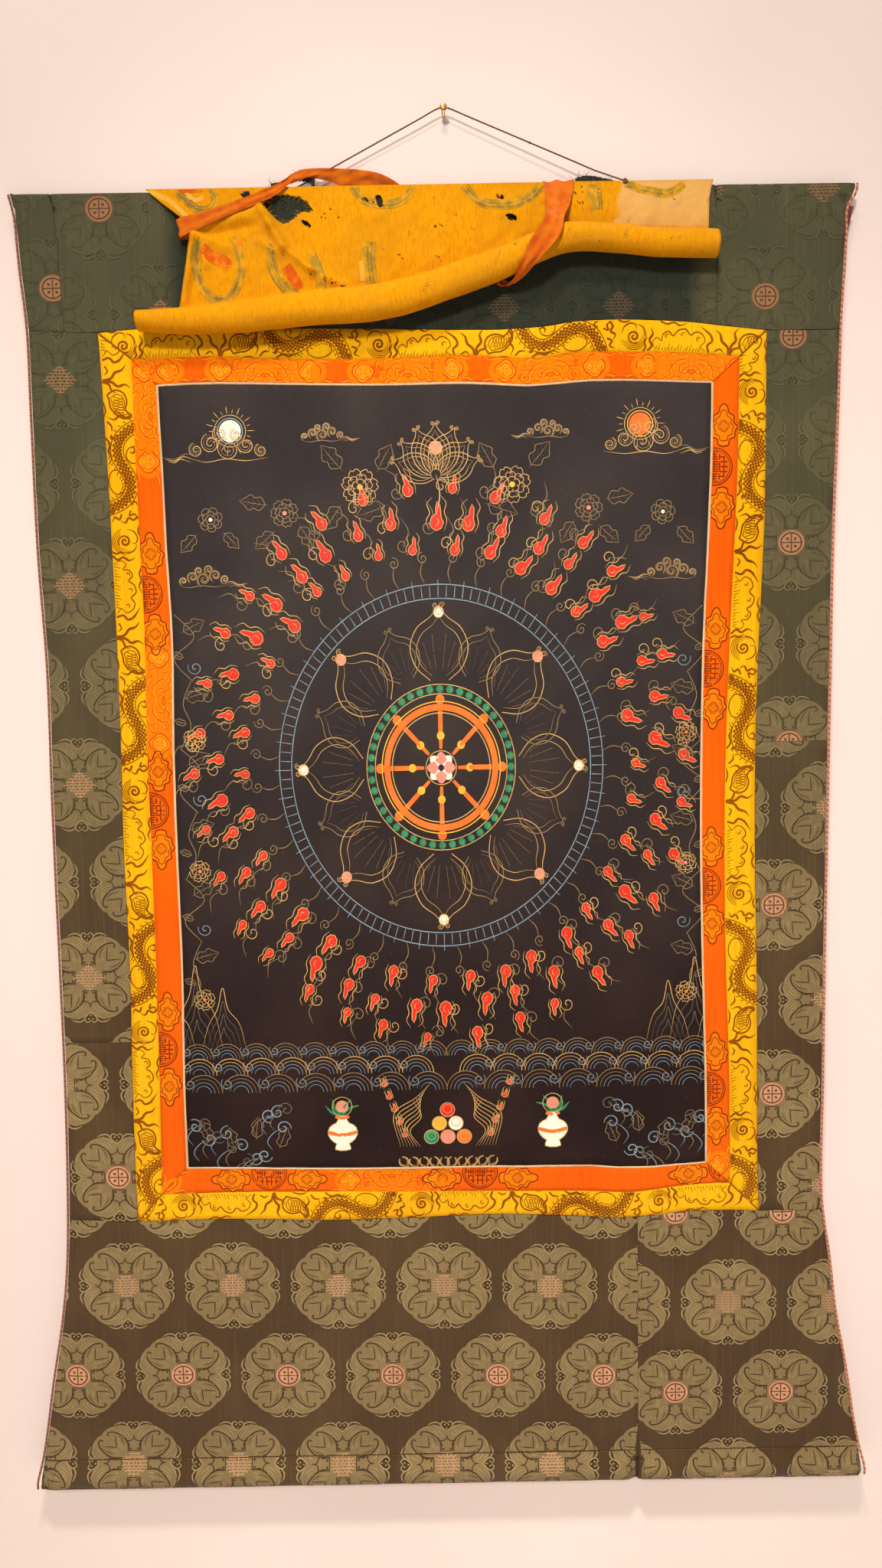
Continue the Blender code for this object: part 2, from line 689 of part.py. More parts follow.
def make_lining(home):
    """Its right edge shows past the edge cord, most of all in the top corner."""
    def right_edge(z):
        peeks = (p.reach * math.exp(-((z - p.height) / p.width)**2) for p in LINING_PEEKS)
        return side("right")(z) + LINING_EDGE + sum(peeks)

    def left_edge(z):
        return side("left")(z) + LINING_EDGE

    def head(x):
        return batten_top(x) - CASING_HEIGHT - LINING_HEAD_GAP

    def foot(x):
        return STITCH_Z + LINING_HEAD_GAP

    patch = seam_patch(foot, head, left_edge, right_edge)

    def place(u, v):
        x, z = patch.at(u, v)
        return x, front(x, z) + CLOTH + LINING_GAP, z

    mesh = grid_mesh("lining", *LINING_STEPS, place)
    made = add_object("lining", mesh, RED_LINING, home)
    thicken(made, LINING, -1.0)


def cord_curve(name, points, radius, resolution, colour, home):
    curve = bpy.data.curves.new(name, "CURVE")
    curve.dimensions = "3D"
    curve.bevel_depth = radius
    curve.bevel_resolution = resolution
    curve.use_fill_caps = True
    spline = curve.splines.new("POLY")
    spline.points.add(len(points) - 1)
    for spot, point in zip(spline.points, points):
        spot.co = (*point, 1.0)
    return add_object(name, curve, colour, home)


def make_edge_cords(home):
    """Twisted cords sewn along both side edges, down over the front of the roller casing."""
    roller = roller_section()
    for name, sign, colour in (("left", -1, BROWN_CORD), ("right", 1, PEACH_CORD)):
        edge = side(name)
        top = batten_top(edge(BATTEN_TOP))
        heights = [top - depth for depth, _, _ in casing_section()[1:]]
        head = top - CASING_HEIGHT
        steps = EDGE_CORD_STEPS
        heights += [mix(head, STITCH_Z, i / steps) for i in range(steps + 1)]
        points = [(edge(z), front(edge(z), z) - EDGE_CORD_STANDS_OUT, z) for z in heights]
        for z, front_y, _ in roller[:4]:
            points.append((edge(z), front_y + EDGE_CORD_RADIUS, z))
        away = sign * (EDGE_CORD_RADIUS + EDGE_CORD_GAP)
        points = [(x + away, y, z) for x, y, z in points]
        cord_curve(f"edge_cord_{name}", points, EDGE_CORD_RADIUS, 1, colour, home)


def prism(name, outline, home):
    """A cutter through the veil: a flat outline carried along Y."""
    curve = bpy.data.curves.new(name, "CURVE")
    curve.dimensions = "2D"
    curve.fill_mode = "BOTH"
    curve.extrude = CUTTER_REACH
    spline = curve.splines.new("POLY")
    spline.points.add(len(outline) - 1)
    for spot, (x, z) in zip(spline.points, outline):
        spot.co = (x, z, 0.0, 1.0)
    spline.use_cyclic_u = True
    flat = bpy.data.objects.new(name, curve)
    home.collection.objects.link(flat)
    seen = flat.evaluated_get(bpy.context.evaluated_depsgraph_get())
    mesh = bpy.data.meshes.new_from_object(seen)
    bpy.data.objects.remove(flat, do_unlink=True)
    shape = bmesh.new()
    shape.from_mesh(mesh)
    bmesh.ops.remove_doubles(shape, verts=shape.verts, dist=0.00001)
    bmesh.ops.recalc_face_normals(shape, faces=shape.faces)
    shape.to_mesh(mesh)
    shape.free()
    cutter = bpy.data.objects.new(name + "_cutter", mesh)
    cutter.location = (0.0, -CUTTER_REACH, 0.0)
    cutter.rotation_euler = (math.pi / 2, 0.0, 0.0)
    cutter.parent = home.frame
    cutter.hide_render = True
    cutter.display_type = "WIRE"
    home.collection.objects.link(cutter)
    return cutter


def veil_front(x, z):
    """The y of the veil's front face above its roll."""
    top = batten_top(x) + VEIL_RISE
    roll_top = through(ROLL, "x", "top", x)
    drop = min(1.0, max(0.0, (top - z) / (top - roll_top)))
    bulge = math.sin(math.pi * drop)
    rest = mix(VEIL_TOP_Y, ROLL_BACK_Y - VEIL, drop)
    folds = min(1.0, 1.6 * bulge) * fold_height(VEIL_FOLDS, x, z)
    return rest - VEIL_BELLY * bulge - folds


def veil_x(u, z):
    """A point across the veil: its left edge is drawn in to the gather."""
    left = through(VEIL_SIDES, "height", "left", z)
    right = through(VEIL_SIDES, "height", "right", z)
    rolled_left, rolled_right = ROLL[0].x, ROLL[-1].x
    x = mix(rolled_left, rolled_right, u)
    x += (left - rolled_left) * max(0.0, 1 - u / VEIL_GATHER_REACH)**2
    return x + (right - rolled_right) * max(0.0, (u - 1) / VEIL_EDGE_REACH + 1)


def make_veil(home, cutters):
    """One cloth from the top edge down behind its roll, which is closed as one wound form."""
    rings = []
    for i in range(VEIL_COLUMNS + 1):
        u = i / VEIL_COLUMNS
        roll_x = mix(ROLL[0].x, ROLL[-1].x, u)
        roll_top = through(ROLL, "x", "top", roll_x)
        roll_foot = through(ROLL, "x", "foot", roll_x)
        rows = []
        for k in range(VEIL_ROWS + 1):
            x = roll_x
            for _ in range(4):
                sheet_foot = through(ROLL, "x", "top", x) + VEIL_OVER_ROLL
                z = mix(batten_top(x) + VEIL_RISE, sheet_foot, k / VEIL_ROWS)
                x = veil_x(u, z)
            y = veil_front(x, z)
            rows.append((x, y, y + VEIL, z))
        middle = (roll_top + roll_foot) / 2
        half = (roll_top - roll_foot) / 2
        roll_y = ROLL_BACK_Y - ROLL_DEPTH_RADIUS
        for angle in ROLL_DEGREES:
            turn = math.radians(angle)
            out = ROLL_DEPTH_RADIUS * math.cos(turn)
            back = ROLL_BACK_Y if angle > 0 else roll_y + out
            rows.append((roll_x, roll_y - out, back, middle + half * math.sin(turn)))
        rings.append(ring_of(rows))
    veil = loft("veil", rings, VEIL_SILK, home)

    outlines = [BIG_HOLE]
    for hole in SMALL_HOLES:
        outline = []
        for k in range(HOLE_SIDES):
            angle = 2 * math.pi * k / HOLE_SIDES
            a = hole.half_width * math.cos(angle)
            b = hole.half_height * math.sin(angle)
            outline.append((
                hole.x + a * math.cos(hole.turn) - b * math.sin(hole.turn),
                hole.z + a * math.sin(hole.turn) + b * math.cos(hole.turn),
            ))
        outlines.append(outline)
    for number, outline in enumerate(outlines):
        cut = veil.modifiers.new(f"hole_{number}", "BOOLEAN")
        cut.operation = "DIFFERENCE"
        cut.solver = "MANIFOLD"
        cut.object = prism(f"hole_{number}", outline, cutters)


def ruled_strip(name, table, steps, thickness, colour, home):
    """A strip between two edges, each a smooth curve through the table's rows."""
    curves = {
        column: [Stop(i, getattr(row, column)) for i, row in enumerate(table)]
        for column in Strip._fields
    }

    def place(u, v):
        at = u * (len(table) - 1)
        read = {column: through(rows, "t", "value", at) for column, rows in curves.items()}
        return (
            mix(read["bx"], read["ax"], v),
            mix(read["by"], read["ay"], v),
            mix(read["bz"], read["az"], v),
        )

    columns = (len(table) - 1) * steps
    made = add_object(name, grid_mesh(name, columns, 1, place), colour, home)
    thicken(made, thickness, 0.0)
    return made


def make_ribbons_and_tabs(home):
    ruled_strip("ribbon_left", LEFT_RIBBON, 3, RIBBON, RIBBON_SILK, home)
    ruled_strip("ribbon_right", RIGHT_RIBBON, 3, RIBBON, RIBBON_SILK, home)
    ruled_strip("cord_tab_left", LEFT_TAB, 2, TAB, BLACK_CLOTH, home)
    ruled_strip("cord_tab_right", RIGHT_TAB, 2, TAB, BLACK_CLOTH, home)


def make_cord_and_pin(home):
    points = []
    for i in range(CORD_POINTS):
        t = i / (CORD_POINTS - 1)
        low = max(k for k in range(len(CORD_BENDS) - 1) if CORD_BENDS[k].t <= t)
        a, b = CORD_BENDS[low], CORD_BENDS[low + 1]
        k = (t - a.t) / (b.t - a.t)
        points.append((mix(a.x, b.x, k), mix(a.y, b.y, k), mix(a.z, b.z, k)))
    cord_curve("hanging_cord", points, CORD_RADIUS, 2, BROWN_CORD, home)

    head_face = PIN_LENGTH + PIN_HEAD_HEIGHT
    profile = [
        (0.0, 0.0), (PIN_RADIUS, 0.0), (PIN_RADIUS, PIN_LENGTH),
        (PIN_HEAD_RADIUS, PIN_LENGTH), (PIN_HEAD_RADIUS, PIN_LENGTH + PIN_HEAD_RIM),
        (PIN_HEAD_TOP_RADIUS, head_face - PIN_HEAD_RIM / 2), (0.0, head_face),
    ]
    mesh = bpy.data.meshes.new("wall_pin")
    shape = bmesh.new()
    verts = [shape.verts.new((0.0, -along, radius)) for radius, along in profile]
    for first, second in zip(verts, verts[1:]):
        shape.edges.new((first, second))
    bmesh.ops.spin(
        shape, geom=list(shape.verts) + list(shape.edges), cent=(0, 0, 0), axis=(0, 1, 0),
        angle=2 * math.pi, steps=PIN_SIDES, use_merge=True,
    )
    bmesh.ops.remove_doubles(shape, verts=shape.verts, dist=0.00001)
    bmesh.ops.recalc_face_normals(shape, faces=shape.faces)
    shape.to_mesh(mesh)
    shape.free()
    mesh.shade_smooth()
    mesh.set_sharp_from_angle(angle=math.radians(40))
    add_object("wall_pin", mesh, BRASS, home)


def main():
    clear_scene()
    collection = new_collection(COLLECTION)
    frame = bpy.data.objects.new("hanging_frame", None)
    frame.location = HANGING_FRAME
    collection.objects.link(frame)
    scroll = Home(collection, frame)
    cutters = Home(new_collection(CUTTERS), frame)
    make_picture_and_borders(scroll)
    make_mount(scroll)
    make_lining(scroll)
    make_edge_cords(scroll)
    make_veil(scroll, cutters)
    make_ribbons_and_tabs(scroll)
    make_cord_and_pin(Home(collection, None))


main()
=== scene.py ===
"""Looks of the thangka scroll painting, in world metres.

X runs right, Z up, the wall is y = 0 and the cloth hangs at negative y. Each cloth is drawn from
the front of its own solid. Woven and painted patterns are thin shapes laid on the cloth: they
are drawn flat, as complex numbers whose real part is x and whose imaginary part is z.
"""
import cmath
import math
from collections import namedtuple

import bmesh
import bpy
import numpy as np
from mathutils import Matrix, Vector
from mathutils.bvhtree import BVHTree


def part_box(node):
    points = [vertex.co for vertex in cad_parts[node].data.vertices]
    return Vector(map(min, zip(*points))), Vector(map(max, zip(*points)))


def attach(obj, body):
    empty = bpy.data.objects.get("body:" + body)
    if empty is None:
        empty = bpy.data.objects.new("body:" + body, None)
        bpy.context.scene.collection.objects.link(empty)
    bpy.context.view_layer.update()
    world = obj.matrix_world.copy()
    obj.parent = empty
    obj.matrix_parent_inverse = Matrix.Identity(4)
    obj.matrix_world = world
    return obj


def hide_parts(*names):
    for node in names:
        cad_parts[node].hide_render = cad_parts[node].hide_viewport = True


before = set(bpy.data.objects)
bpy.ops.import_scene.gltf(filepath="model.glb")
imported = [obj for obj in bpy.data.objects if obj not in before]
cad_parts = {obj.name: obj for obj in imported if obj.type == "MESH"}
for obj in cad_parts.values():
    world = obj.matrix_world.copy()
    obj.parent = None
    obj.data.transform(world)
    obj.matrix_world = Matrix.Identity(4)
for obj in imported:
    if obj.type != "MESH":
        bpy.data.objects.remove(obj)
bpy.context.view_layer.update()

MM = 0.001

# Camera: where the photograph was taken from
CAMERA_PLACE = (-0.0167, -1.36, -0.631)
CAMERA_PITCH = math.radians(-5.7)
CAMERA_ROLL = math.radians(-1.05)
LENS_MM = 26
SENSOR_MM = 36

# The cord's bends, as in the part: from behind the left tab over the pin to the right tab
CORD_DIAMETER = 0.002
CORD_BENDS = [
    (-0.180, -0.0085, -0.0861),
    (-0.006, -0.0105, 0.0015),
    (0.000, -0.0105, 0.0037),
    (0.006, -0.0105, 0.0015),
    (0.172, -0.0165, -0.0715),
    (0.205, -0.0243, -0.0865),
]

# The casing round the roller, measured on its solid
foot_low, foot_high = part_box("mount_foot_left")
ROLLER_RADIUS = (foot_high.y - foot_low.y) / 2
ROLLER_Y = (foot_high.y + foot_low.y) / 2
ROLLER_Z = foot_low.z + ROLLER_RADIUS
STITCH_Z = ROLLER_Z + ROLLER_RADIUS + 0.004
STITCH_ANGLE = math.radians(68.6)
STITCH_PITCH = 0.0042
ROLL_START_ANGLE = math.radians(40)
ROLL_START_RUN = 0.0122

# The casing round the batten, measured on its solid
BATTEN_TOP_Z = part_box("mount_top_centre")[1].z
CASING_FOOT_Z = BATTEN_TOP_Z - 0.027


def srgb(red, green, blue):
    """A screen colour from 0 to 255 as the linear values that shaders take."""
    linear = [((c / 255 + 0.055) / 1.055)**2.4 for c in (red, green, blue)]
    return (*linear, 1.0)


def mix(a, b, t):
    return a + (b - a) * t


def ease(low, high, value):
    t = np.clip((value - low) / (high - low), 0.0, 1.0)
    return t * t * (3 - 2 * t)


def uneven(x, z, length, seed):
    """A smooth irregular height from -1 to 1, with bumps about length across."""
    draw = np.random.default_rng(seed)
    total = np.zeros_like(x)
    waves = 7
    for _ in range(waves):
        angle, phase, stretch = draw.random(3) * (math.pi, 2 * math.pi, 0.9)
        run = (x * math.cos(angle) + z * math.sin(angle)) / (length * (0.6 + stretch))
        total += np.sin(2 * math.pi * run + phase)
    return total / waves * 2


class Finish:
    """A procedural material, put together node by node."""

    def __init__(self, name, roughness=0.6, sheen=0.0, metallic=0.0, specular=0.10):
        self.material = bpy.data.materials.new(name)
        self.material.use_nodes = True
        self.tree = self.material.node_tree
        self.shader = self.tree.nodes["Principled BSDF"]
        for socket, value in (
            ("Roughness", roughness), ("Metallic", metallic),
            ("Sheen Weight", sheen), ("Specular IOR Level", specular),
        ):
            self.shader.inputs[socket].default_value = value
        self.spot = self.tree.nodes.new("ShaderNodeTexCoord").outputs["Object"]
        split = self.tree.nodes.new("ShaderNodeSeparateXYZ")
        self.tree.links.new(self.spot, split.inputs[0])
        self.x, self.y, self.z = split.outputs

    def plug(self, value, socket):
        if isinstance(value, bpy.types.NodeSocket):
            self.tree.links.new(value, socket)
        else:
            socket.default_value = value

    def math(self, operation, first, second=0.0):
        node = self.tree.nodes.new("ShaderNodeMath")
        node.operation = operation
        self.plug(first, node.inputs[0])
        self.plug(second, node.inputs[1])
        return node.outputs[0]

    def between(self, value, low, high, start=0.0, end=1.0):
        """start where value is low, end where it is high, and smooth between."""
        node = self.tree.nodes.new("ShaderNodeMapRange")
        node.interpolation_type = "SMOOTHSTEP"
        for socket, number in zip(node.inputs, (value, low, high, start, end)):
            self.plug(number, socket)
        return node.outputs[0]

    def blend(self, share, first, second):
        node = self.tree.nodes.new("ShaderNodeMix")
        node.data_type = "RGBA"
        self.plug(share, node.inputs["Factor"])
        colours = [socket for socket in node.inputs if socket.type == "RGBA"]
        self.plug(first, colours[0])
        self.plug(second, colours[1])
        return next(socket for socket in node.outputs if socket.type == "RGBA")

    def noise(self, stretch, detail=3.0):
        """Noise whose cells have 1 / stretch metres along each axis."""
        turn = self.tree.nodes.new("ShaderNodeMapping")
        turn.inputs["Scale"].default_value = stretch
        self.tree.links.new(self.spot, turn.inputs["Vector"])
        node = self.tree.nodes.new("ShaderNodeTexNoise")
        node.inputs["Scale"].default_value = 1.0
        node.inputs["Detail"].default_value = detail
        self.tree.links.new(turn.outputs[0], node.inputs["Vector"])
        return node.outputs[0]

    def threads(self, coordinate, pitch):
        return self.math("SINE", self.math("MULTIPLY", coordinate, 2 * math.pi / pitch))

    def weave(self, pitch):
        return self.math("MULTIPLY", self.threads(self.x, pitch), self.threads(self.z, pitch))

    def done(self, colour, height=None, depth=0.0002, rough=None):
        self.plug(colour, self.shader.inputs["Base Color"])
        if rough is not None:
            self.plug(rough, self.shader.inputs["Roughness"])
        if height is not None:
            bump = self.tree.nodes.new("ShaderNodeBump")
            bump.inputs["Distance"].default_value = depth
            self.plug(height, bump.inputs["Height"])
            self.tree.links.new(bump.outputs[0], self.shader.inputs["Normal"])
        return self.material


def woven(name, light, dark, pitch=0.0008, streak=(260, 4, 5), roughness=0.5, sheen=0.2,
          depth=0.0002):
    """Plain cloth of one colour, with uneven threads, faint patches and a fine weave."""
    finish = Finish(name, roughness, sheen)
    slubs = finish.between(finish.noise(streak, 2.0), 0.40, 0.72)
    patches = finish.between(finish.noise((9, 9, 7)), 0.38, 0.68)
    share = finish.math("MULTIPLY", finish.math("ADD", slubs, patches), 0.5)
    colour = finish.blend(share, light, dark)
    height = finish.math("ADD", finish.weave(pitch), finish.math("MULTIPLY", slubs, 1.5))
    return finish.done(colour, height, depth)


def damask(name, head, foot, light_head, light_foot, depth=0.00015):
    """Damask colours that change from the green head of the mount to its brown foot. The green-grey of the
    head, where the pattern barely stands out, is painted sheen over the cloth's own colour.
    """
    finish = Finish(name, 0.50, 0.06)
    # Painted sheen: the head's green-grey colours are blended in towards the top
    low = finish.between(finish.z, -0.18, -1.20)
    bare = finish.between(finish.math("ABSOLUTE", finish.math("ADD", finish.x, 0.014)), 0.285, 0.312)
    aged = [(3.2 * red, 2.5 * green, 2.0 * blue, 1.0) for red, green, blue, _ in (head, light_head)]
    base = finish.blend(low, finish.blend(bare, head, aged[0]), foot)
    lift = finish.blend(low, finish.blend(bare, light_head, aged[1]), light_foot)
    slubs = finish.between(finish.noise((420, 4, 5), 2.0), 0.46, 0.80)
    patches = finish.between(finish.noise((14, 9, 8)), 0.40, 0.74)
    share = finish.math("MULTIPLY", finish.math("ADD", slubs, patches), 0.5)
    colour = finish.blend(share, base, lift)
    height = finish.math("ADD", finish.weave(0.0009), finish.math("MULTIPLY", slubs, 2.0))
    return finish.done(colour, height, depth)


def canvas_finish():
    finish = Finish("painted_canvas", 0.62, 0.0)
    patches = finish.between(finish.noise((7, 7, 6), 4.0), 0.35, 0.70)
    specks = finish.between(finish.noise((700, 700, 700), 1.0), 0.70, 0.80, 0.0, 0.35)
    low = finish.between(finish.z, -0.55, -1.20)
    patches = finish.math("MULTIPLY", patches, 0.8)
    colour = finish.blend(patches, finish.blend(low, srgb(44, 39, 40), srgb(30, 18, 18)),
                          finish.blend(low, srgb(58, 51, 48), srgb(44, 28, 25)))
    colour = finish.blend(specks, colour, srgb(120, 105, 90))
    return finish.done(colour, finish.weave(0.0011), 0.00008)


def veil_finish():
    """Thin yellow silk, paler and browner at its right end where the light has bleached it."""
    finish = Finish("veil_silk", 0.42, 0.0)
    slubs = finish.between(finish.noise((620, 90, 120), 2.0), 0.40, 0.70)
    patches = finish.between(finish.noise((16, 16, 22), 4.0), 0.42, 0.66)
    colour = finish.blend(slubs, srgb(236, 162, 4), srgb(224, 146, 3))
    colour = finish.blend(finish.math("MULTIPLY", patches, 0.5), colour, srgb(212, 146, 20))
    edge = finish.math("ADD", finish.x, finish.math("MULTIPLY", patches, 0.012))
    bleached = finish.between(edge, 0.196, 0.202, 0.0, 0.75)
    above_roll = finish.between(finish.z, -0.140, -0.134)
    faded = finish.math("MULTIPLY", bleached, above_roll)
    colour = finish.blend(faded, colour, srgb(232, 184, 110))
    stains = finish.between(finish.noise((150, 150, 150), 5.0), 0.70, 0.75, 0.0, 0.6)
    colour = finish.blend(stains, colour, srgb(110, 70, 20))
    height = finish.math("ADD", finish.weave(0.0007), finish.math("MULTIPLY", slubs, 2.0))
    return finish.done(colour, height, 0.00015)


def metal_finish():
    finish = Finish("worn_brass", 0.35, 0.0, 1.0)
    spots = finish.between(finish.noise((900, 900, 900), 4.0), 0.40, 0.65)
    colour = finish.blend(spots, srgb(196, 160, 96), srgb(120, 88, 48))
    return finish.done(colour, spots, 0.00005, finish.between(spots, 0.0, 1.0, 0.28, 0.60))


def solid_mesh(node):
    """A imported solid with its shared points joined."""
    shape = bmesh.new()
    shape.from_mesh(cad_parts[node].data)
    bmesh.ops.remove_doubles(shape, verts=shape.verts, dist=0.00001)
    shape.normal_update()
    return shape


def one_side(node, thickness):
    """The side of a thin sheet's solid that faces the room."""
    shape = solid_mesh(node)
    rim = [
        face for face in shape.faces
        if min(edge.calc_length() for edge in face.edges) < 1.15 * thickness
    ]
    bmesh.ops.delete(shape, geom=rim, context="FACES_ONLY")
    sides = []
    left = set(shape.faces)
    while left:
        todo = [left.pop()]
        side = list(todo)
        while todo:
            for edge in todo.pop().edges:
                for face in edge.link_faces:
                    if face in left:
                        left.remove(face)
                        side.append(face)
                        todo.append(face)
        sides.append(side)
    sides.sort(key=lambda side: sum(f.calc_center_median().y for f in side) / len(side))
    away = [face for side in sides[1:] for face in side]
    bmesh.ops.delete(shape, geom=away, context="FACES")
    return shape


def boundary(shape):
    """The points round the edge of an open mesh, in order."""
    edges = {edge for edge in shape.edges if edge.is_boundary}
    start = next(iter(sorted(edges, key=lambda edge: edge.index))).verts[0]
    loop = [start]
    spot = start
    while edges:
        edge = next((edge for edge in spot.link_edges if edge in edges), None)
        if edge is None:
            break
        edges.remove(edge)
        spot = edge.other_vert(spot)
        loop.append(spot)
    return [vert.co.copy() for vert in loop[:-1]]


def rails(node, thickness):
    """The two long edges of a narrow strip, as arrays of points that run the same way."""
    shape = one_side(node, thickness)
    loop = boundary(shape)
    shape.free()
    count = len(loop)
    turns = []
    for i, here in enumerate(loop):
        back, on = here - loop[i - 1], loop[(i + 1) % count] - here
        turns.append((back.angle(on), i))
    corners = sorted(i for _, i in sorted(turns)[-4:])
    chains = []
    for a, b in zip(corners, corners[1:] + [corners[0] + count]):
        if b - a > 1:
            chains.append([loop[i % count] for i in range(a, b + 1)])
    first, second = (np.array(chain) for chain in chains[:2])
    return first, second[::-1]


def resampled(points, count):
    """Points at even steps along a smooth line through the given ones."""
    run = np.concatenate([[0], np.cumsum(np.linalg.norm(np.diff(points, axis=0), axis=1))])
    slopes = np.gradient(points, run, axis=0)
    at = np.linspace(0, run[-1], count)
    i = np.clip(np.searchsorted(run, at, side="right") - 1, 0, len(run) - 2)
    span = (run[i + 1] - run[i])[:, None]
    k = (at - run[i])[:, None] / span
    rise = (2 * k**3 - 3 * k**2 + 1) * points[i] + (k**3 - 2 * k**2 + k) * span * slopes[i]
    return rise + (3 * k**2 - 2 * k**3) * points[i + 1] + (k**3 - k**2) * span * slopes[i + 1]


def grid_faces(rows, columns, closed=False):
    """Faces of a grid of points given row by row; closed joins the last column to the first."""
    faces = []
    for i in range(rows - 1):
        for j in range(columns if closed else columns - 1):
            k = (j + 1) % columns
            faces.append((i * columns + j, i * columns + k,
                          (i + 1) * columns + k, (i + 1) * columns + j))
    return faces


def grid_mesh(name, grid, closed=False):
    """A mesh through an array of rows of points."""
    mesh = bpy.data.meshes.new(name)
    rows, columns = grid.shape[:2]
    mesh.from_pydata(grid.reshape(-1, 3).tolist(), [], grid_faces(rows, columns, closed))
    return mesh


def add_piece(name, mesh, finishes, replaced=()):
    piece = bpy.data.objects.new(name, mesh)
    bpy.context.scene.collection.objects.link(piece)
    for finish in finishes:
        mesh.materials.append(finish)
    mesh.shade_smooth()
    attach(piece, "root")
    if replaced:
        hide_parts(*replaced)
    return piece


# Fine creases of the hanging cloth, each a soft ridge (or trough, below 0) along a short line
Crease = namedtuple("Crease", "x1 z1 x2 z2 width height")
CREASES = [
    Crease(-0.105, -1.310, -0.112, -1.400, 0.005, -0.0016),
    Crease(-0.098, -1.312, -0.092, -1.395, 0.006, 0.0012),
    Crease(-0.300, -1.330, -0.318, -1.480, 0.009, 0.0010),
    Crease(0.020, -1.330, 0.024, -1.450, 0.010, 0.0009),
    Crease(0.215, -1.320, 0.212, -1.600, 0.006, 0.0008),
    Crease(-0.450, -1.390, -0.480, -1.540, 0.012, 0.0014),
    Crease(0.440, -1.420, 0.470, -1.600, 0.012, -0.0012),
    Crease(0.330, -1.330, 0.345, -1.430, 0.007, -0.0009),
    Crease(-0.452, -0.260, -0.430, -0.420, 0.008, 0.0008),
    Crease(-0.430, -0.560, -0.436, -0.720, 0.007, 0.0007),
    Crease(0.395, -0.300, 0.402, -0.480, 0.007, -0.0008),
    Crease(0.400, -0.740, 0.392, -0.760, 0.010, 0.0010),
    Crease(0.110, -0.205, 0.150, -0.255, 0.010, 0.0010),
    Crease(-0.430, -0.120, -0.400, -0.230, 0.014, 0.0012),
    Crease(0.350, -0.150, 0.420, -0.230, 0.012, -0.0008),
]


def creased(creases, x, z):
    """How far a cloth's creases stand out at many places."""
    out = np.zeros_like(x)
    for crease in creases:
        run = (crease.x2 - crease.x1, crease.z2 - crease.z1)
        t = ((x - crease.x1) * run[0] + (z - crease.z1) * run[1]) / (run[0]**2 + run[1]**2)
        t = np.clip(t, 0, 1)
        away = np.hypot(x - mix(crease.x1, crease.x2, t), z - mix(crease.z1, crease.z2, t))
        out += crease.height * np.exp(-(away / crease.width)**2)
    return out


def relief(x, z):
    """How far the hanging cloth stands out from its solid, in fine creases and waves."""
    out = 0.00035 * uneven(x, z, 0.050, 3) + 0.00030 * uneven(x * 2.2, z * 0.5, 0.030, 5)
    out += creased(CREASES, x, z)
    return out * ease(STITCH_Z, STITCH_Z + 0.03, z) * ease(CASING_FOOT_Z, CASING_FOOT_Z - 0.03, z)


def turn_edges(mesh, outwards, back):
    """Folds the edge of a sheet back, so that a seam closes as it does in sewn cloth."""
    shape = bmesh.new()
    shape.from_mesh(mesh)
    edges = [edge for edge in shape.edges if edge.is_boundary]
    away = {}
    for vert in {vert for edge in edges for vert in edge.verts}:
        centre = Vector((0, 0, 0))
        for face in vert.link_faces:
            centre += face.calc_center_median() / len(vert.link_faces)
        out = vert.co - centre
        out.y = 0
        away[vert.co.copy().freeze()] = out.normalized() * outwards + Vector((0, back, 0))
    made = bmesh.ops.extrude_edge_only(shape, edges=edges)["geom"]
    for vert in (thing for thing in made if isinstance(thing, bmesh.types.BMVert)):
        vert.co += away[vert.co.copy().freeze()]
    shape.to_mesh(mesh)
    shape.free()


def fine_mesh(shape, levels):
    """The smooth fine sheet of a coarse one."""
    bmesh.ops.join_triangles(
        shape, faces=shape.faces, angle_face_threshold=math.radians(40),
        angle_shape_threshold=math.radians(40),
    )
    mesh = bpy.data.meshes.new("coarse")
    shape.to_mesh(mesh)
    shape.free()
    carrier = bpy.data.objects.new("coarse", mesh)
    bpy.context.scene.collection.objects.link(carrier)
    smooth = carrier.modifiers.new("smooth", "SUBSURF")
    smooth.levels = smooth.render_levels = levels
    smooth.boundary_smooth = "PRESERVE_CORNERS"
    seen = carrier.evaluated_get(bpy.context.evaluated_depsgraph_get())
    fine = bpy.data.meshes.new_from_object(seen)
    bpy.data.objects.remove(carrier)
    bpy.data.meshes.remove(mesh)
    return fine


def coordinates(mesh):
    spots = np.empty(len(mesh.vertices) * 3)
    mesh.vertices.foreach_get("co", spots)
    return spots.reshape(-1, 3)


def move_points(mesh, spots):
    mesh.vertices.foreach_set("co", spots.ravel())
    mesh.update()


def surface_area(mesh):
    return sum(face.area for face in mesh.polygons)


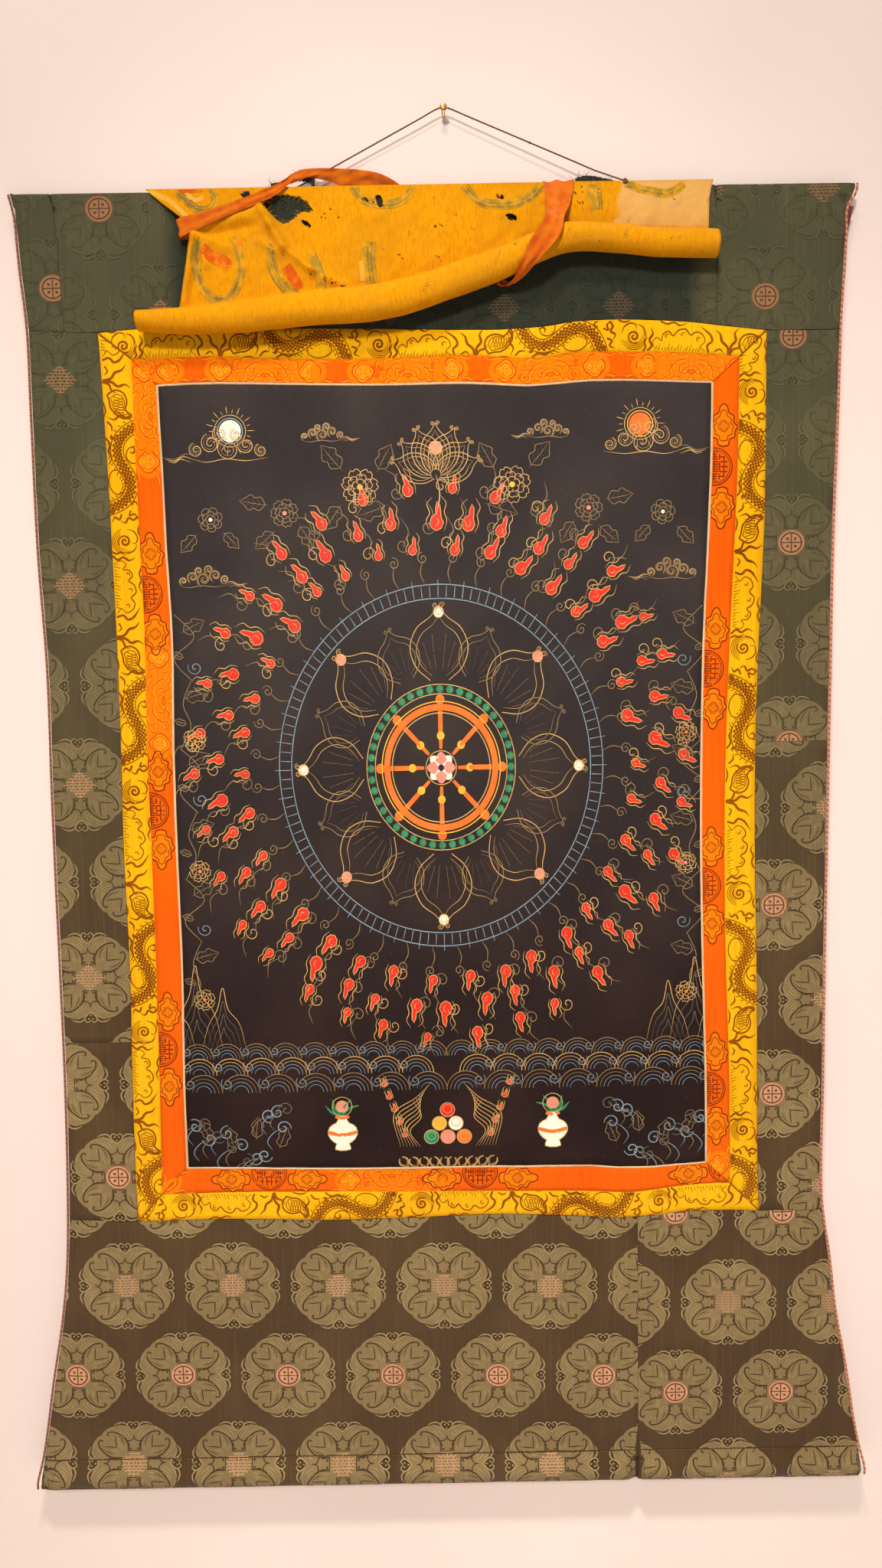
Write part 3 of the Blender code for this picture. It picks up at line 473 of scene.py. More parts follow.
class Cloth:
    """A hung sheet: its piece, and what a pattern needs to be laid on it."""

    def __init__(self, node, mesh, outline, finish, rests_on, thickness=0.0006, turned=0.0009):
        self.node = node
        self.outline = outline
        self.surface = BVHTree.FromPolygons(
            [vert.co for vert in mesh.vertices], [tuple(f.vertices) for f in mesh.polygons]
        )
        self.area = surface_area(mesh)
        if turned:
            turn_edges(mesh, 0.00035, turned)
        self.piece = add_piece(node + "_cloth", mesh, [finish], [node])
        solid = self.piece.modifiers.new("thickness", "SOLIDIFY")
        solid.thickness = thickness
        solid.offset = -1.0
        self.rests_on = rests_on
        self.holes = []
        self.rolled = node.startswith("mount_foot")
        self.patterns = []

    def declare(self, width, length):
        """Does nothing with how large the sheet was cut: width and length, seams and hems within them, are
        not used.
        """

    def point(self, spot, lift):
        """The place on the cloth of a spot of a flat drawing, lift in front of its threads."""
        if self.rolled and spot.imag < STITCH_Z:
            run = STITCH_Z - spot.imag
            if run < ROLL_START_RUN:
                angle = mix(STITCH_ANGLE, ROLL_START_ANGLE, run / ROLL_START_RUN)
            else:
                angle = ROLL_START_ANGLE - (run - ROLL_START_RUN) / ROLLER_RADIUS
            out = Vector((0, -math.cos(angle), math.sin(angle)))
            hit = self.surface.ray_cast(Vector((spot.real, ROLLER_Y, ROLLER_Z)), out)[0]
            if hit is None:
                hit = Vector((spot.real, ROLLER_Y, ROLLER_Z)) + out * ROLLER_RADIUS
            return hit + out * lift
        hit = self.surface.ray_cast(Vector((spot.real, -1, spot.imag)), Vector((0, 1, 0)))[0]
        if hit is None:
            near = self.surface.find_nearest(Vector((spot.real, -0.03, spot.imag)))[0]
            hit = Vector((spot.real, near.y, spot.imag))
        return hit - Vector((0, lift, 0))


def unrolled(z, y):
    """The height that a point of the roller's casing has in a flat drawing."""
    angle = math.atan2(z - ROLLER_Z, ROLLER_Y - y)
    if z >= STITCH_Z:
        return z
    if angle > ROLL_START_ANGLE:
        return STITCH_Z - ROLL_START_RUN * (STITCH_ANGLE - angle) / (
            STITCH_ANGLE - ROLL_START_ANGLE)
    return STITCH_Z - ROLL_START_RUN - (ROLL_START_ANGLE - angle) * ROLLER_RADIUS


def outline_of(shape, rolled=False):
    """The edge of a sheet in the plane of its patterns, counter-clockwise."""
    spots = [complex(p.x, unrolled(p.z, p.y) if rolled else p.z) for p in boundary(shape)]
    line = np.array(spots)
    ahead = np.roll(line, -1)
    if (line.real * ahead.imag - ahead.real * line.imag).sum() < 0:
        line = line[::-1]
    return line


def hung_cloth(node, thickness, finish, rests_on, levels=2):
    shape = one_side(node, thickness)
    outline = outline_of(shape)
    mesh = fine_mesh(shape, levels)
    spots = coordinates(mesh)
    spots[:, 1] -= relief(spots[:, 0], spots[:, 2])
    move_points(mesh, spots)
    return Cloth(node, mesh, outline, finish, rests_on)


def wrapped_cloth(node, finish, rests_on, levels=2):
    """A damask piece that runs round the roller or the batten, with its ends folded in."""
    shape = solid_mesh(node)
    faces = list(shape.faces)
    front = []
    for face in faces:
        under = node.startswith("mount_foot") and face.calc_center_median().z < ROLLER_Z
        if face.normal.y < (0.4 if under else -0.3) and abs(face.normal.x) < 0.8:
            front.append(face)
    flat = shape.copy()
    flat.faces.ensure_lookup_table()
    chosen = {face.index for face in front}
    behind = [face for face in flat.faces if face.index not in chosen]
    bmesh.ops.delete(flat, geom=behind, context="FACES")
    outline = outline_of(flat, node.startswith("mount_foot"))
    flat.free()
    crease = shape.edges.layers.float.new("crease_edge")
    ends = set()
    inner = []
    for face in list(shape.faces):
        centre = face.calc_center_median()
        in_casing = centre.z < STITCH_Z or centre.z > CASING_FOOT_Z
        cap = abs(face.normal.x) > 0.8
        if cap and in_casing:
            ends.update(edge for edge in face.edges)
        if not in_casing and (cap or face.normal.y > 0.3):
            inner.append(face)
    for edge in ends:
        if len({abs(face.normal.x) > 0.8 for face in edge.link_faces}) > 1:
            edge[crease] = 0.95
    bmesh.ops.delete(shape, geom=inner, context="FACES")
    mesh = fine_mesh(shape, levels)
    spots = coordinates(mesh)
    if node.startswith("mount_top"):
        head = outline.imag.max()
        sunk = head - spots[:, 2].max()
        spots[:, 2] += (sunk + 0.0004) * ease(CASING_FOOT_Z, CASING_FOOT_Z + 0.012, spots[:, 2])
    else:
        forward, up = ROLLER_Y - spots[:, 1], spots[:, 2] - ROLLER_Z
        angle, reach = np.arctan2(up, forward), np.hypot(forward, up)
        on_roller = (spots[:, 2] < STITCH_Z) & (reach > 0.94 * ROLLER_RADIUS)
        share = on_roller * ease(ROLL_START_ANGLE + 0.15, ROLL_START_ANGLE - 0.15, angle)
        reach = mix(reach, ROLLER_RADIUS + 0.0002, share)
        spots[:, 1], spots[:, 2] = ROLLER_Y - reach * np.cos(angle), ROLLER_Z + reach * np.sin(angle)
        outline = clear_of_ends(outline)
    spots[:, 1] -= relief(spots[:, 0], spots[:, 2])
    move_points(mesh, spots)
    return Cloth(node, mesh, outline, finish, rests_on)


def clear_of_ends(outline):
    """Keeps a pattern off the rounded ends of the roller's casing."""
    casing = outline.imag < STITCH_Z + 0.002
    left, right = outline.real[casing].min(), outline.real[casing].max()
    shift = np.where(outline.real < left + 0.005, 0.0035, np.where(outline.real > right - 0.005, -0.0035, 0))
    return outline + np.where(casing, shift, 0)


def strip_cloth(node, thickness, finish, rests_on, along, across):
    """A border strip between the two long edges of its solid."""
    first, second = (resampled(rail, along) for rail in rails(node, thickness))
    share = np.linspace(0, 1, across)[None, :, None]
    grid = first[:, None] + (second - first)[:, None] * share
    grid[..., 1] -= relief(grid[..., 0], grid[..., 2])
    mesh = grid_mesh(node, grid)
    if mesh.polygons[0].normal.y > 0:
        mesh.flip_normals()
    loop = np.concatenate([grid[:-1, 0], grid[-1, :-1], grid[:0:-1, -1], grid[0, :0:-1]])
    outline = loop[:, 0] + 1j * loop[:, 2]
    ahead = np.roll(outline, -1)
    if (outline.real * ahead.imag - ahead.real * outline.imag).sum() < 0:
        outline = outline[::-1]
    cloth = Cloth(node, mesh, outline, finish, rests_on)
    middle = (grid[:, 0] + grid[:, -1]) / 2
    cloth.middle = middle[:, 0] + 1j * middle[:, 2]
    cloth.ends = [[complex(spot[0], spot[2]) for spot in (grid[k, 0], grid[k, -1])] for k in (0, -1)]
    return cloth


def through(points, step):
    """A smooth line through a drawing's points, as complex numbers about step apart."""
    knots = np.array([complex(*p) if isinstance(p, tuple) else p for p in points])
    flat = np.stack([knots.real, knots.imag], axis=1)
    long = abs(np.diff(knots)).sum()
    line = resampled(flat, max(3, math.ceil(long / step) + 1))
    return line[:, 0] + 1j * line[:, 1]


class Drawing:
    """Flat shapes in several inks. Each shape is a patch of points joined by faces."""

    def __init__(self, step=0.003):
        self.step = step
        self.spots = np.zeros(0, complex)
        self.faces = np.zeros((0, 4), int)
        self.inks = np.zeros(0, int)

    def add(self, spots, faces, inks):
        self.faces = np.concatenate([self.faces, np.where(faces < 0, -1, faces + len(self.spots))])
        self.spots = np.concatenate([self.spots, spots])
        self.inks = np.concatenate([self.inks, np.broadcast_to(inks, len(faces))])

    def stroke(self, points, width, ink, start=0.25, end=0.25, smooth=True):
        """A line of the brush; start and end are its widths there, as shares of width."""
        line = through(points, self.step) if smooth else np.array(
            [complex(*p) if isinstance(p, tuple) else p for p in points])
        t = np.linspace(0, 1, len(line))
        taper = np.minimum(1, np.minimum(mix(start, 1, t / 0.35), mix(end, 1, (1 - t) / 0.35)))
        ahead = np.gradient(line)
        side = 1j * ahead / np.maximum(abs(ahead), 1e-12) * width / 2 * taper
        n = len(line)
        i = np.arange(n - 1)
        self.add(np.concatenate([line - side, line + side]),
                 np.stack([i, i + 1, n + i + 1, n + i], axis=1), ink)

    def fill(self, outline, ink, rings=1):
        """A filled shape: rings of faces from its middle to its outline."""
        outline = np.asarray(outline)
        n = len(outline)
        centre = outline.mean()
        shares = [k / rings for k in range(1, rings + 1)]
        spots = np.concatenate([[centre]] + [centre + (outline - centre) * s for s in shares])
        i = np.arange(n)
        j = (i + 1) % n
        faces = [np.stack([0 * i, 1 + i, 1 + j, 0 * i - 1], axis=1)]
        for k in range(1, rings):
            a, b = 1 + (k - 1) * n, 1 + k * n
            faces.append(np.stack([a + i, b + i, b + j, a + j], axis=1))
        self.add(spots, np.concatenate(faces), ink)

    def ring(self, centre, radius, width, ink, sides=28):
        turns = np.linspace(0, 2 * math.pi, sides + 1)
        self.stroke(list(centre + radius * np.exp(1j * turns)), width, ink, 1, 1, False)

    def disc(self, centre, radius, ink, sides=20, rings=1):
        turns = np.arange(sides) / sides * 2 * math.pi
        self.fill(centre + radius * np.exp(1j * turns), ink, rings)

    def stamp(self, motif, place=0j, scale=1.0, turn=0.0, flip=False, squeeze=1.0):
        """A copy of another drawing: mirrored left to right, turned, scaled, then moved."""
        spots = -motif.spots.conj() if flip else motif.spots
        spots = spots * cmath.exp(1j * turn) * scale
        spots = spots.real + 1j * squeeze * spots.imag
        self.add(spots + place, motif.faces, motif.inks)


def along(drawing, line):
    """A drawing bent along a line: its x runs along the line, and its z to the left of it."""
    run = np.concatenate([[0], np.cumsum(abs(np.diff(line)))])
    ahead = np.gradient(line, run)
    ahead /= abs(ahead)
    far = drawing.spots.real
    near = np.clip(far, 0, run[-1])
    spot = np.interp(near, run, line.real) + 1j * np.interp(near, run, line.imag)
    way = np.interp(near, run, ahead.real) + 1j * np.interp(near, run, ahead.imag)
    bent = Drawing()
    bent.add(spot + way * (far - near + 1j * drawing.spots.imag), drawing.faces, drawing.inks)
    return bent


def inside(spots, outline):
    """Whether each spot is inside an outline, and which of its edges is nearest."""
    ahead = np.roll(outline, -1)
    within = np.zeros(len(spots), bool)
    best = np.full(len(spots), np.inf)
    nearest = np.zeros(len(spots), int)
    for k, (a, b) in enumerate(zip(outline, ahead)):
        place = (spots - a) / (b - a)
        away = abs(spots - a - np.clip(place.real, 0, 1) * (b - a))
        closer = away < best
        best[closer], nearest[closer] = away[closer], k
        crossed = (a.imag > spots.imag) != (b.imag > spots.imag)
        within ^= crossed & ((place.imag > 0) == (b.imag > a.imag))
    return within, nearest


def cut_face(corners, a, b):
    """The part of a face on the left of the line from a to b."""
    kept = []
    heights = [((spot - a) / (b - a)).imag for spot in corners]
    for (p, h), (q, g) in zip(zip(corners, heights), zip(corners[1:] + corners[:1],
                                                         heights[1:] + heights[:1])):
        if h >= 0:
            kept.append(p)
        if (h >= 0) != (g >= 0):
            kept.append(p + (q - p) * h / (h - g))
    return kept


def lay(name, drawing, cloth, inks, levels):
    """Lays a drawing on a cloth, cut off at its seams. levels are the inks' heights."""
    spots, faces, colours = drawing.spots, drawing.faces, drawing.inks
    reach = cloth.outline
    near = ((spots.real > reach.real.min() - 0.01) & (spots.real < reach.real.max() + 0.01)
            & (spots.imag > reach.imag.min() - 0.01) & (spots.imag < reach.imag.max() + 0.01))
    padded = np.where(faces < 0, faces[:, [0]], faces)
    close = near[padded].any(axis=1)
    faces, colours, padded = faces[close], colours[close], padded[close]
    for hole in cloth.holes:
        open_spots = inside(spots, hole)[0]
        shut = ~open_spots[padded].any(axis=1)
        faces, colours, padded = faces[shut], colours[shut], padded[shut]
    used, place = np.unique(padded, return_inverse=True)
    spots = spots[used]
    padded = place.reshape(padded.shape)
    faces = np.where(faces < 0, -1, padded)
    within, nearest = inside(spots, reach)
    whole = within[padded].all(axis=1)
    straddling = within[padded].any(axis=1) & ~whole
    kept = [[k for k in face if k >= 0] for face in faces[whole].tolist()]
    kept_colours = colours[whole].tolist()
    corners = spots.tolist()
    ahead = np.roll(reach, -1)
    for face, colour in zip(faces[straddling].tolist(), colours[straddling].tolist()):
        face = [k for k in face if k >= 0]
        shape = [corners[k] for k in face]
        for k in {int(nearest[k]) for k in face}:
            if len(shape) > 2:
                shape = cut_face(shape, complex(reach[k]), complex(ahead[k]))
        if len(shape) > 2:
            kept.append(list(range(len(corners), len(corners) + len(shape))))
            kept_colours.append(colour)
            corners += shape
    lifts = [0.0] * len(corners)
    turned = []
    for face, colour in zip(kept, kept_colours):
        area = sum((corners[face[i - 1]].conjugate() * corners[face[i]]).imag
                   for i in range(len(face)))
        turned.append(face if area > 0 else face[::-1])
        for k in face:
            lifts[k] = levels[colour]
    needed = sorted({k for face in turned for k in face})
    number = {k: i for i, k in enumerate(needed)}
    verts = [cloth.point(corners[k], lifts[k]) for k in needed]
    mesh = bpy.data.meshes.new(name)
    mesh.from_pydata(verts, [], [[number[k] for k in face] for face in turned])
    piece = add_piece(name, mesh, inks)
    mesh.polygons.foreach_set("material_index", kept_colours)
    cloth.patterns.append(piece)
    return piece


def make_camera():
    data = bpy.data.cameras.new("photo_view")
    data.lens = LENS_MM
    data.sensor_width = SENSOR_MM
    data.sensor_fit = "AUTO"
    camera = bpy.data.objects.new("photo_view", data)
    bpy.context.scene.collection.objects.link(camera)
    camera.matrix_world = (
        Matrix.Translation(CAMERA_PLACE)
        @ Matrix.Rotation(math.radians(90) + CAMERA_PITCH, 4, "X")
        @ Matrix.Rotation(CAMERA_ROLL, 4, "Z")
    )
    bpy.context.scene.camera = camera


def stage_plane(name, corners, finish):
    mesh = bpy.data.meshes.new(name)
    mesh.from_pydata(corners, [], [(0, 1, 2, 3)])
    mesh.materials.append(finish)
    plane = bpy.data.objects.new(name, mesh)
    bpy.context.scene.collection.objects.link(plane)
    return plane


def make_stage():
    """A pale wall just behind the scroll, seen only from its front, and a pale floor."""
    plaster = Finish("plaster", 0.9, 0.0, 0.0, 0.1)
    grain = plaster.noise((240, 240, 240), 4.0)
    plaster.done(plaster.blend(plaster.between(plaster.noise((1.2, 1.2, 1.2)), 0.35, 0.65),
                               srgb(229, 217, 213), srgb(223, 210, 206)), grain, 0.0003)
    nodes, links = plaster.tree.nodes, plaster.tree.links
    side = nodes.new("ShaderNodeNewGeometry").outputs["Backfacing"]
    clear = nodes.new("ShaderNodeBsdfTransparent")
    either = nodes.new("ShaderNodeMixShader")
    links.new(side, either.inputs[0])
    links.new(plaster.shader.outputs[0], either.inputs[1])
    links.new(clear.outputs[0], either.inputs[2])
    links.new(either.outputs[0], nodes["Material Output"].inputs["Surface"])
    behind, reach, floor_z = 0.0015, 4.0, -2.6
    wall = stage_plane("wall", [(-reach, behind, floor_z), (reach, behind, floor_z),
                                (reach, behind, reach), (-reach, behind, reach)], plaster.material)
    wall.visible_shadow = False
    ground = Finish("floor", 0.8, 0.0, 0.0, 0.1)
    ground.done(ground.blend(ground.between(ground.noise((3, 3, 3)), 0.4, 0.6),
                             srgb(236, 228, 218), srgb(228, 218, 206)))
    stage_plane("floor", [(-reach, -reach, floor_z), (reach, -reach, floor_z),
                          (reach, reach, floor_z), (-reach, reach, floor_z)], ground.material)


Lamp = namedtuple("Lamp", "name place target size spread watts colour")
LAMPS = [
    Lamp("ceiling_light", (-0.6, -4.2, 1.6), (0.0, 0.0, -0.8), 0.7, 180, 172, (1.0, 0.89, 0.80)),
    Lamp("spot_light", (-0.08, -1.3, 1.1), (0.0, 0.0, -1.9), 0.22, 60, 7.0, (1.0, 0.89, 0.80)),
    Lamp("room_light", (0.3, -3.0, -2.2), (0.0, 0.0, -1.0), 2.4, 180, 22, (1.0, 0.92, 0.84)),
    Lamp("back_light", (0.2, 3.4, -0.6), (0.0, 0.0, -0.8), 1.6, 180, 110, (1.0, 0.92, 0.82)),
]


def area_light(lamp):
    data = bpy.data.lights.new(lamp.name, "AREA")
    data.shape = "DISK"
    data.size = lamp.size
    data.spread = math.radians(lamp.spread)
    data.energy = lamp.watts
    data.color = lamp.colour
    light = bpy.data.objects.new(lamp.name, data)
    bpy.context.scene.collection.objects.link(light)
    light.location = lamp.place
    light.rotation_euler = (Vector(lamp.target) - light.location).to_track_quat("-Z", "Y").to_euler()


def make_light():
    for lamp in LAMPS:
        area_light(lamp)
    world = bpy.data.worlds.new("room")
    bpy.context.scene.world = world
    bpy.context.scene.view_settings.view_transform = "Standard"
    world.use_nodes = True
    air = world.node_tree.nodes["Background"]
    air.inputs["Color"].default_value = srgb(255, 240, 226)
    air.inputs["Strength"].default_value = 0.22


def twisted_mesh(name, points, radius, pitch, steps_a_turn=8, sides=8, lobe=0.28):
    """A two-ply cord: a tube whose two lobes wind round its line."""
    long = np.linalg.norm(np.diff(points, axis=0), axis=1).sum()
    count = max(12, round(long / pitch * steps_a_turn))
    line = resampled(points, count)
    ahead = np.gradient(line, axis=0)
    ahead /= np.linalg.norm(ahead, axis=1)[:, None]
    out = np.cross(ahead, (0.0, 1.0, 0.0))
    out /= np.linalg.norm(out, axis=1)[:, None]
    up = np.cross(out, ahead)
    twist = np.arange(count) / steps_a_turn * 2 * math.pi
    around = np.arange(sides) / sides * 2 * math.pi
    reach = radius * (1 - lobe + lobe * abs(np.cos(around)))
    angle = around[None] + twist[:, None]
    grid = (line[:, None] + reach[None, :, None] * (np.cos(angle)[..., None] * out[:, None]
            + np.sin(angle)[..., None] * up[:, None]))
    mesh = bpy.data.meshes.new(name)
    faces = grid_faces(count, sides, True)
    faces += [tuple(range(sides)), tuple(range(count * sides - 1, (count - 1) * sides - 1, -1))]
    mesh.from_pydata(grid.reshape(-1, 3).tolist(), [], faces)
    half = sides // 2
    ply = [0 if (k % sides) < half else 1 for k in range((count - 1) * sides)] + [0, 0]
    mesh.polygons.foreach_set("material_index", ply)
    return mesh, line


def yarn(name, light, dark):
    finish = Finish(name, 0.75, 0.3)
    fibres = finish.between(finish.noise((1500, 1500, 1500), 3.0), 0.35, 0.65)
    return finish.done(finish.blend(fibres, light, dark), fibres, 0.0002)


def make_hanging_cord():
    points = np.array(CORD_BENDS)
    steps = [8, 2, 2, 8, 4]
    rows = [points[0]]
    for a, b, count in zip(points, points[1:], steps):
        rows += [mix(a, b, k / count) for k in range(1, count + 1)]
    mesh, line = twisted_mesh("hanging_cord_twine", np.array(rows), CORD_DIAMETER / 2, 0.005)
    inks = [yarn("twine_brown", srgb(120, 84, 56), srgb(74, 46, 28)),
            yarn("twine_red_brown", srgb(146, 92, 66), srgb(96, 56, 38))]
    piece = add_piece("hanging_cord_twine", mesh, inks, ["hanging_cord"])
    knots = [make_knot("cord_knot_end", line[-4], 0.0026, inks),
             make_knot("cord_knot_left", line[int(len(line) * 0.02) + 2], 0.0022, inks),
             make_knot("cord_knot_right", line[int(len(line) * 0.72)], 0.0013, inks)]


def make_knot(name, centre, radius, inks):
    """A small overhand knot: a tight loop of cord."""
    turns = np.linspace(0, 2 * math.pi, 40)
    loop = np.stack([np.cos(2 * turns) * (1 + 0.45 * np.cos(3 * turns)),
                     0.5 * np.sin(3 * turns),
                     np.sin(2 * turns) * (1 + 0.45 * np.cos(3 * turns))], axis=1)
    mesh, _ = twisted_mesh(name, np.asarray(centre) + loop * radius * 0.62, radius * 0.42,
                           0.004, 6, 6)
    return add_piece(name, mesh, inks)


def cord_line(node):
    """The middle line of a cord's solid, from its rings of points."""
    spots = np.unique(np.round(coordinates(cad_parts[node].data), 6), axis=0)
    spots = spots[np.argsort(-spots[:, 2])]
    gaps = np.where(-np.diff(spots[:, 2]) > 0.0012)[0] + 1
    return np.array([ring.mean(axis=0) for ring in np.split(spots, gaps)])


def make_edge_cords():
    looks = {
        "edge_cord_left": (srgb(150, 92, 62), srgb(96, 44, 30), srgb(170, 120, 90), srgb(120, 70, 48)),
        "edge_cord_right": (srgb(226, 166, 128), srgb(186, 122, 90), srgb(196, 112, 82), srgb(150, 66, 46)),
    }
    for node, (light, dark, light_red, dark_red) in looks.items():
        line = cord_line(node)
        mesh, _ = twisted_mesh(node + "_twist", line, 0.0016, 0.0065, 8, 8)
        add_piece(node + "_twist", mesh, [yarn(node + "_pale", light, dark),
                                          yarn(node + "_red", light_red, dark_red)],
                  [node])


# Damask medallion: strokes of one eighth of it, on the scale where its radius is 1
LEAF_EDGE = [(0.14, 0.27), (0.135, 0.44), (0.17, 0.55), (0.29, 0.675), (0.43, 0.745),
             (0.53, 0.735), (0.56, 0.685), (0.515, 0.655)]
LEAF_FOLD = [(0.215, 0.42), (0.25, 0.54), (0.35, 0.66)]
LEAF_VEE = [(0.375, 0.375), (0.385, 0.52), (0.405, 0.67)]
PETAL_FOOT = [(0.0, 0.66), (0.02, 0.56), (0.08, 0.525), (0.20, 0.535)]
STAR_EDGE = [(0.0, 0.285), (0.12, 0.30), (0.10, 0.345), (0.13, 0.38), (0.10, 0.425),
             (0.135, 0.47), (0.15, 0.515), (0.105, 0.50)]
HEART = [(0.0, 0.755), (0.09, 0.83), (0.125, 0.92), (0.07, 0.985), (0.005, 0.935)]
HEART_CORE = [(0.0, 0.79), (0.06, 0.85), (0.085, 0.915), (0.055, 0.95), (0.0, 0.905)]
RIM_LEAF = [(0.12, 0.90), (0.20, 0.965), (0.29, 0.965), (0.41, 0.905)]
PETAL_HAIRS = [
    [(0.08, 0.60), (0.12, 0.70), (0.22, 0.80)], [(0.13, 0.58), (0.20, 0.70), (0.32, 0.80)],
    [(0.20, 0.61), (0.28, 0.72), (0.42, 0.81)], [(0.10, 0.76), (0.18, 0.86), (0.30, 0.92)],
    [(0.36, 0.86), (0.47, 0.84), (0.56, 0.79)],
]
LEAF_HAIRS = [
    [(0.19, 0.32), (0.21, 0.42)], [(0.25, 0.31), (0.29, 0.43), (0.33, 0.52)],
    [(0.29, 0.55), (0.35, 0.63)], [(0.42, 0.56), (0.44, 0.64)], [(0.31, 0.36), (0.33, 0.44)],
]
RIM = [(0, 0.80), (7, 0.87), (18, 0.955), (30, 0.985), (40, 0.985), (45, 0.955)]
DISC, DARK, THREAD, COPPER, COIN_LINE = range(5)
BARRED_ROWS = {
    "diamond": (0.06, 0.13, 0.20, 0.26, 0.31, 0.27, 0.20, 0.13, 0.06),
    "round": (0.12, 0.20, 0.24, 0.26, 0.26, 0.24, 0.20, 0.12),
}
MEDALLION_WIDTH = 0.0592
MEDALLION_HEIGHT = 0.0560
PITCH_X = 0.1305
PITCH_Z = 0.1165


def medallion(centre, rings=6):
    """One damask roundel of leaves round a coin or a barred disc, its ground in rings of faces."""
    eighth = Drawing(0.045)
    eighth.stroke(LEAF_EDGE, 0.030, DARK, 0.5, 1.0)
    eighth.stroke(LEAF_FOLD, 0.016, DARK)
    eighth.stroke(LEAF_VEE, 0.022, DARK, 0.8, 0.3)
    eighth.stroke(PETAL_FOOT, 0.022, DARK, 0.6, 0.4)
    eighth.stroke(STAR_EDGE, 0.024, DARK, 0.8, 0.9)
    eighth.stroke(HEART, 0.026, THREAD, 1.0, 0.7)
    eighth.stroke(HEART_CORE, 0.030, DARK, 1.0, 0.7)
    eighth.stroke(RIM_LEAF, 0.028, THREAD, 0.9, 0.2)
    for hair in PETAL_HAIRS + LEAF_HAIRS:
        eighth.stroke(hair, 0.017, THREAD, 0.4, 0.3)
    eighth.disc(0.045 + 0.905j, 0.020, THREAD, 6)
    eighth.disc(0.07 + 0.335j, 0.022, DARK, 6)
    made = Drawing(0.045)
    degrees = np.concatenate([np.arange(0, 45, 3.75), [45.0]])
    rim = np.interp(degrees, *zip(*RIM))
    whole = []
    for quarter in range(4):
        for k, (angle, r) in enumerate(list(zip(degrees, rim)) + list(zip(90 - degrees, rim))[-2:0:-1]):
            whole.append(r * cmath.exp(1j * math.radians(90 * quarter + angle)))
    made.fill(whole, DISC, rings)
    for quarter in range(4):
        for flip in (False, True):
            made.stamp(eighth, turn=math.radians(90 * quarter), flip=flip)
        made.disc(1j**quarter * 0.825j, 0.020, THREAD, 6)
    if centre == "coin":
        made.disc(0j, 0.275, COPPER, 28, 2)
        for reach, wide in ((0.200, 0.030), (0.262, 0.014)):
            made.ring(0j, reach, wide, COIN_LINE, 30)
        for quarter in range(4):
            spoke = 1j**quarter
            made.stroke([0j, 0.19 * spoke], 0.024, COIN_LINE, 1, 1, False)
            corner = spoke * cmath.exp(0.25j * math.pi)
            made.fill([corner * (0.105 + 0.045 * p) for p in (1, 0.7j, -0.8, -0.7j)], COIN_LINE)
    else:
        rows, pitch = BARRED_ROWS[centre], 0.062
        for k, half in enumerate(rows):
            height = pitch * (k - (len(rows) - 1) / 2)
            dashes = max(1, round(half / 0.045))
            for step in range(-dashes, dashes + 1):
                x = step * half / (dashes + 0.5)
                long = 0.36 * half / (dashes + 0.5) + 0.006
                lift = 0.008 * (-1)**(step + k)
                made.stroke([(x - long, height + lift), (x + long, height + lift)], 0.022, COPPER,
                            1, 1, False)
            if k % 2:
                for x in (-0.5 * half, 0.5 * half):
                    made.stroke([(x, height - 0.8 * pitch), (x, height + 0.8 * pitch)], 0.014, COPPER,
                                1, 1, False)
        stem = pitch * (len(rows) + 1) / 2
        made.stroke([-1j * stem, 1j * stem], 0.018, COPPER, 0.6, 0.6, False)
    sized = Drawing()
    sized.add(made.spots.real * MEDALLION_WIDTH + 1j * made.spots.imag * MEDALLION_HEIGHT,
              made.faces, made.inks)
    return sized


# Where each damask piece's pattern starts: one coin, and how much each step right sinks
Lattice = namedtuple("Lattice", "x z slope")
LATTICES = {
    "mount_foot_left": Lattice(-0.220, -1.499, -0.020),
    "mount_foot_right": Lattice(0.262, -1.532, 0.0),
    "mount_left_upper": Lattice(-0.379, -0.408, 0.0),
    "mount_left_lower": Lattice(-0.420, -1.240, 0.0),
    "mount_right_upper": Lattice(0.395, -0.490, 0.0),
    "mount_right_lower": Lattice(0.379, -1.150, 0.0),
    "mount_top_left": Lattice(-0.448, -0.190, 0.0),
    "mount_top_centre": Lattice(0.0, -0.104, 0.0),
    "mount_top_right": Lattice(0.363, -0.213, 0.0),
}


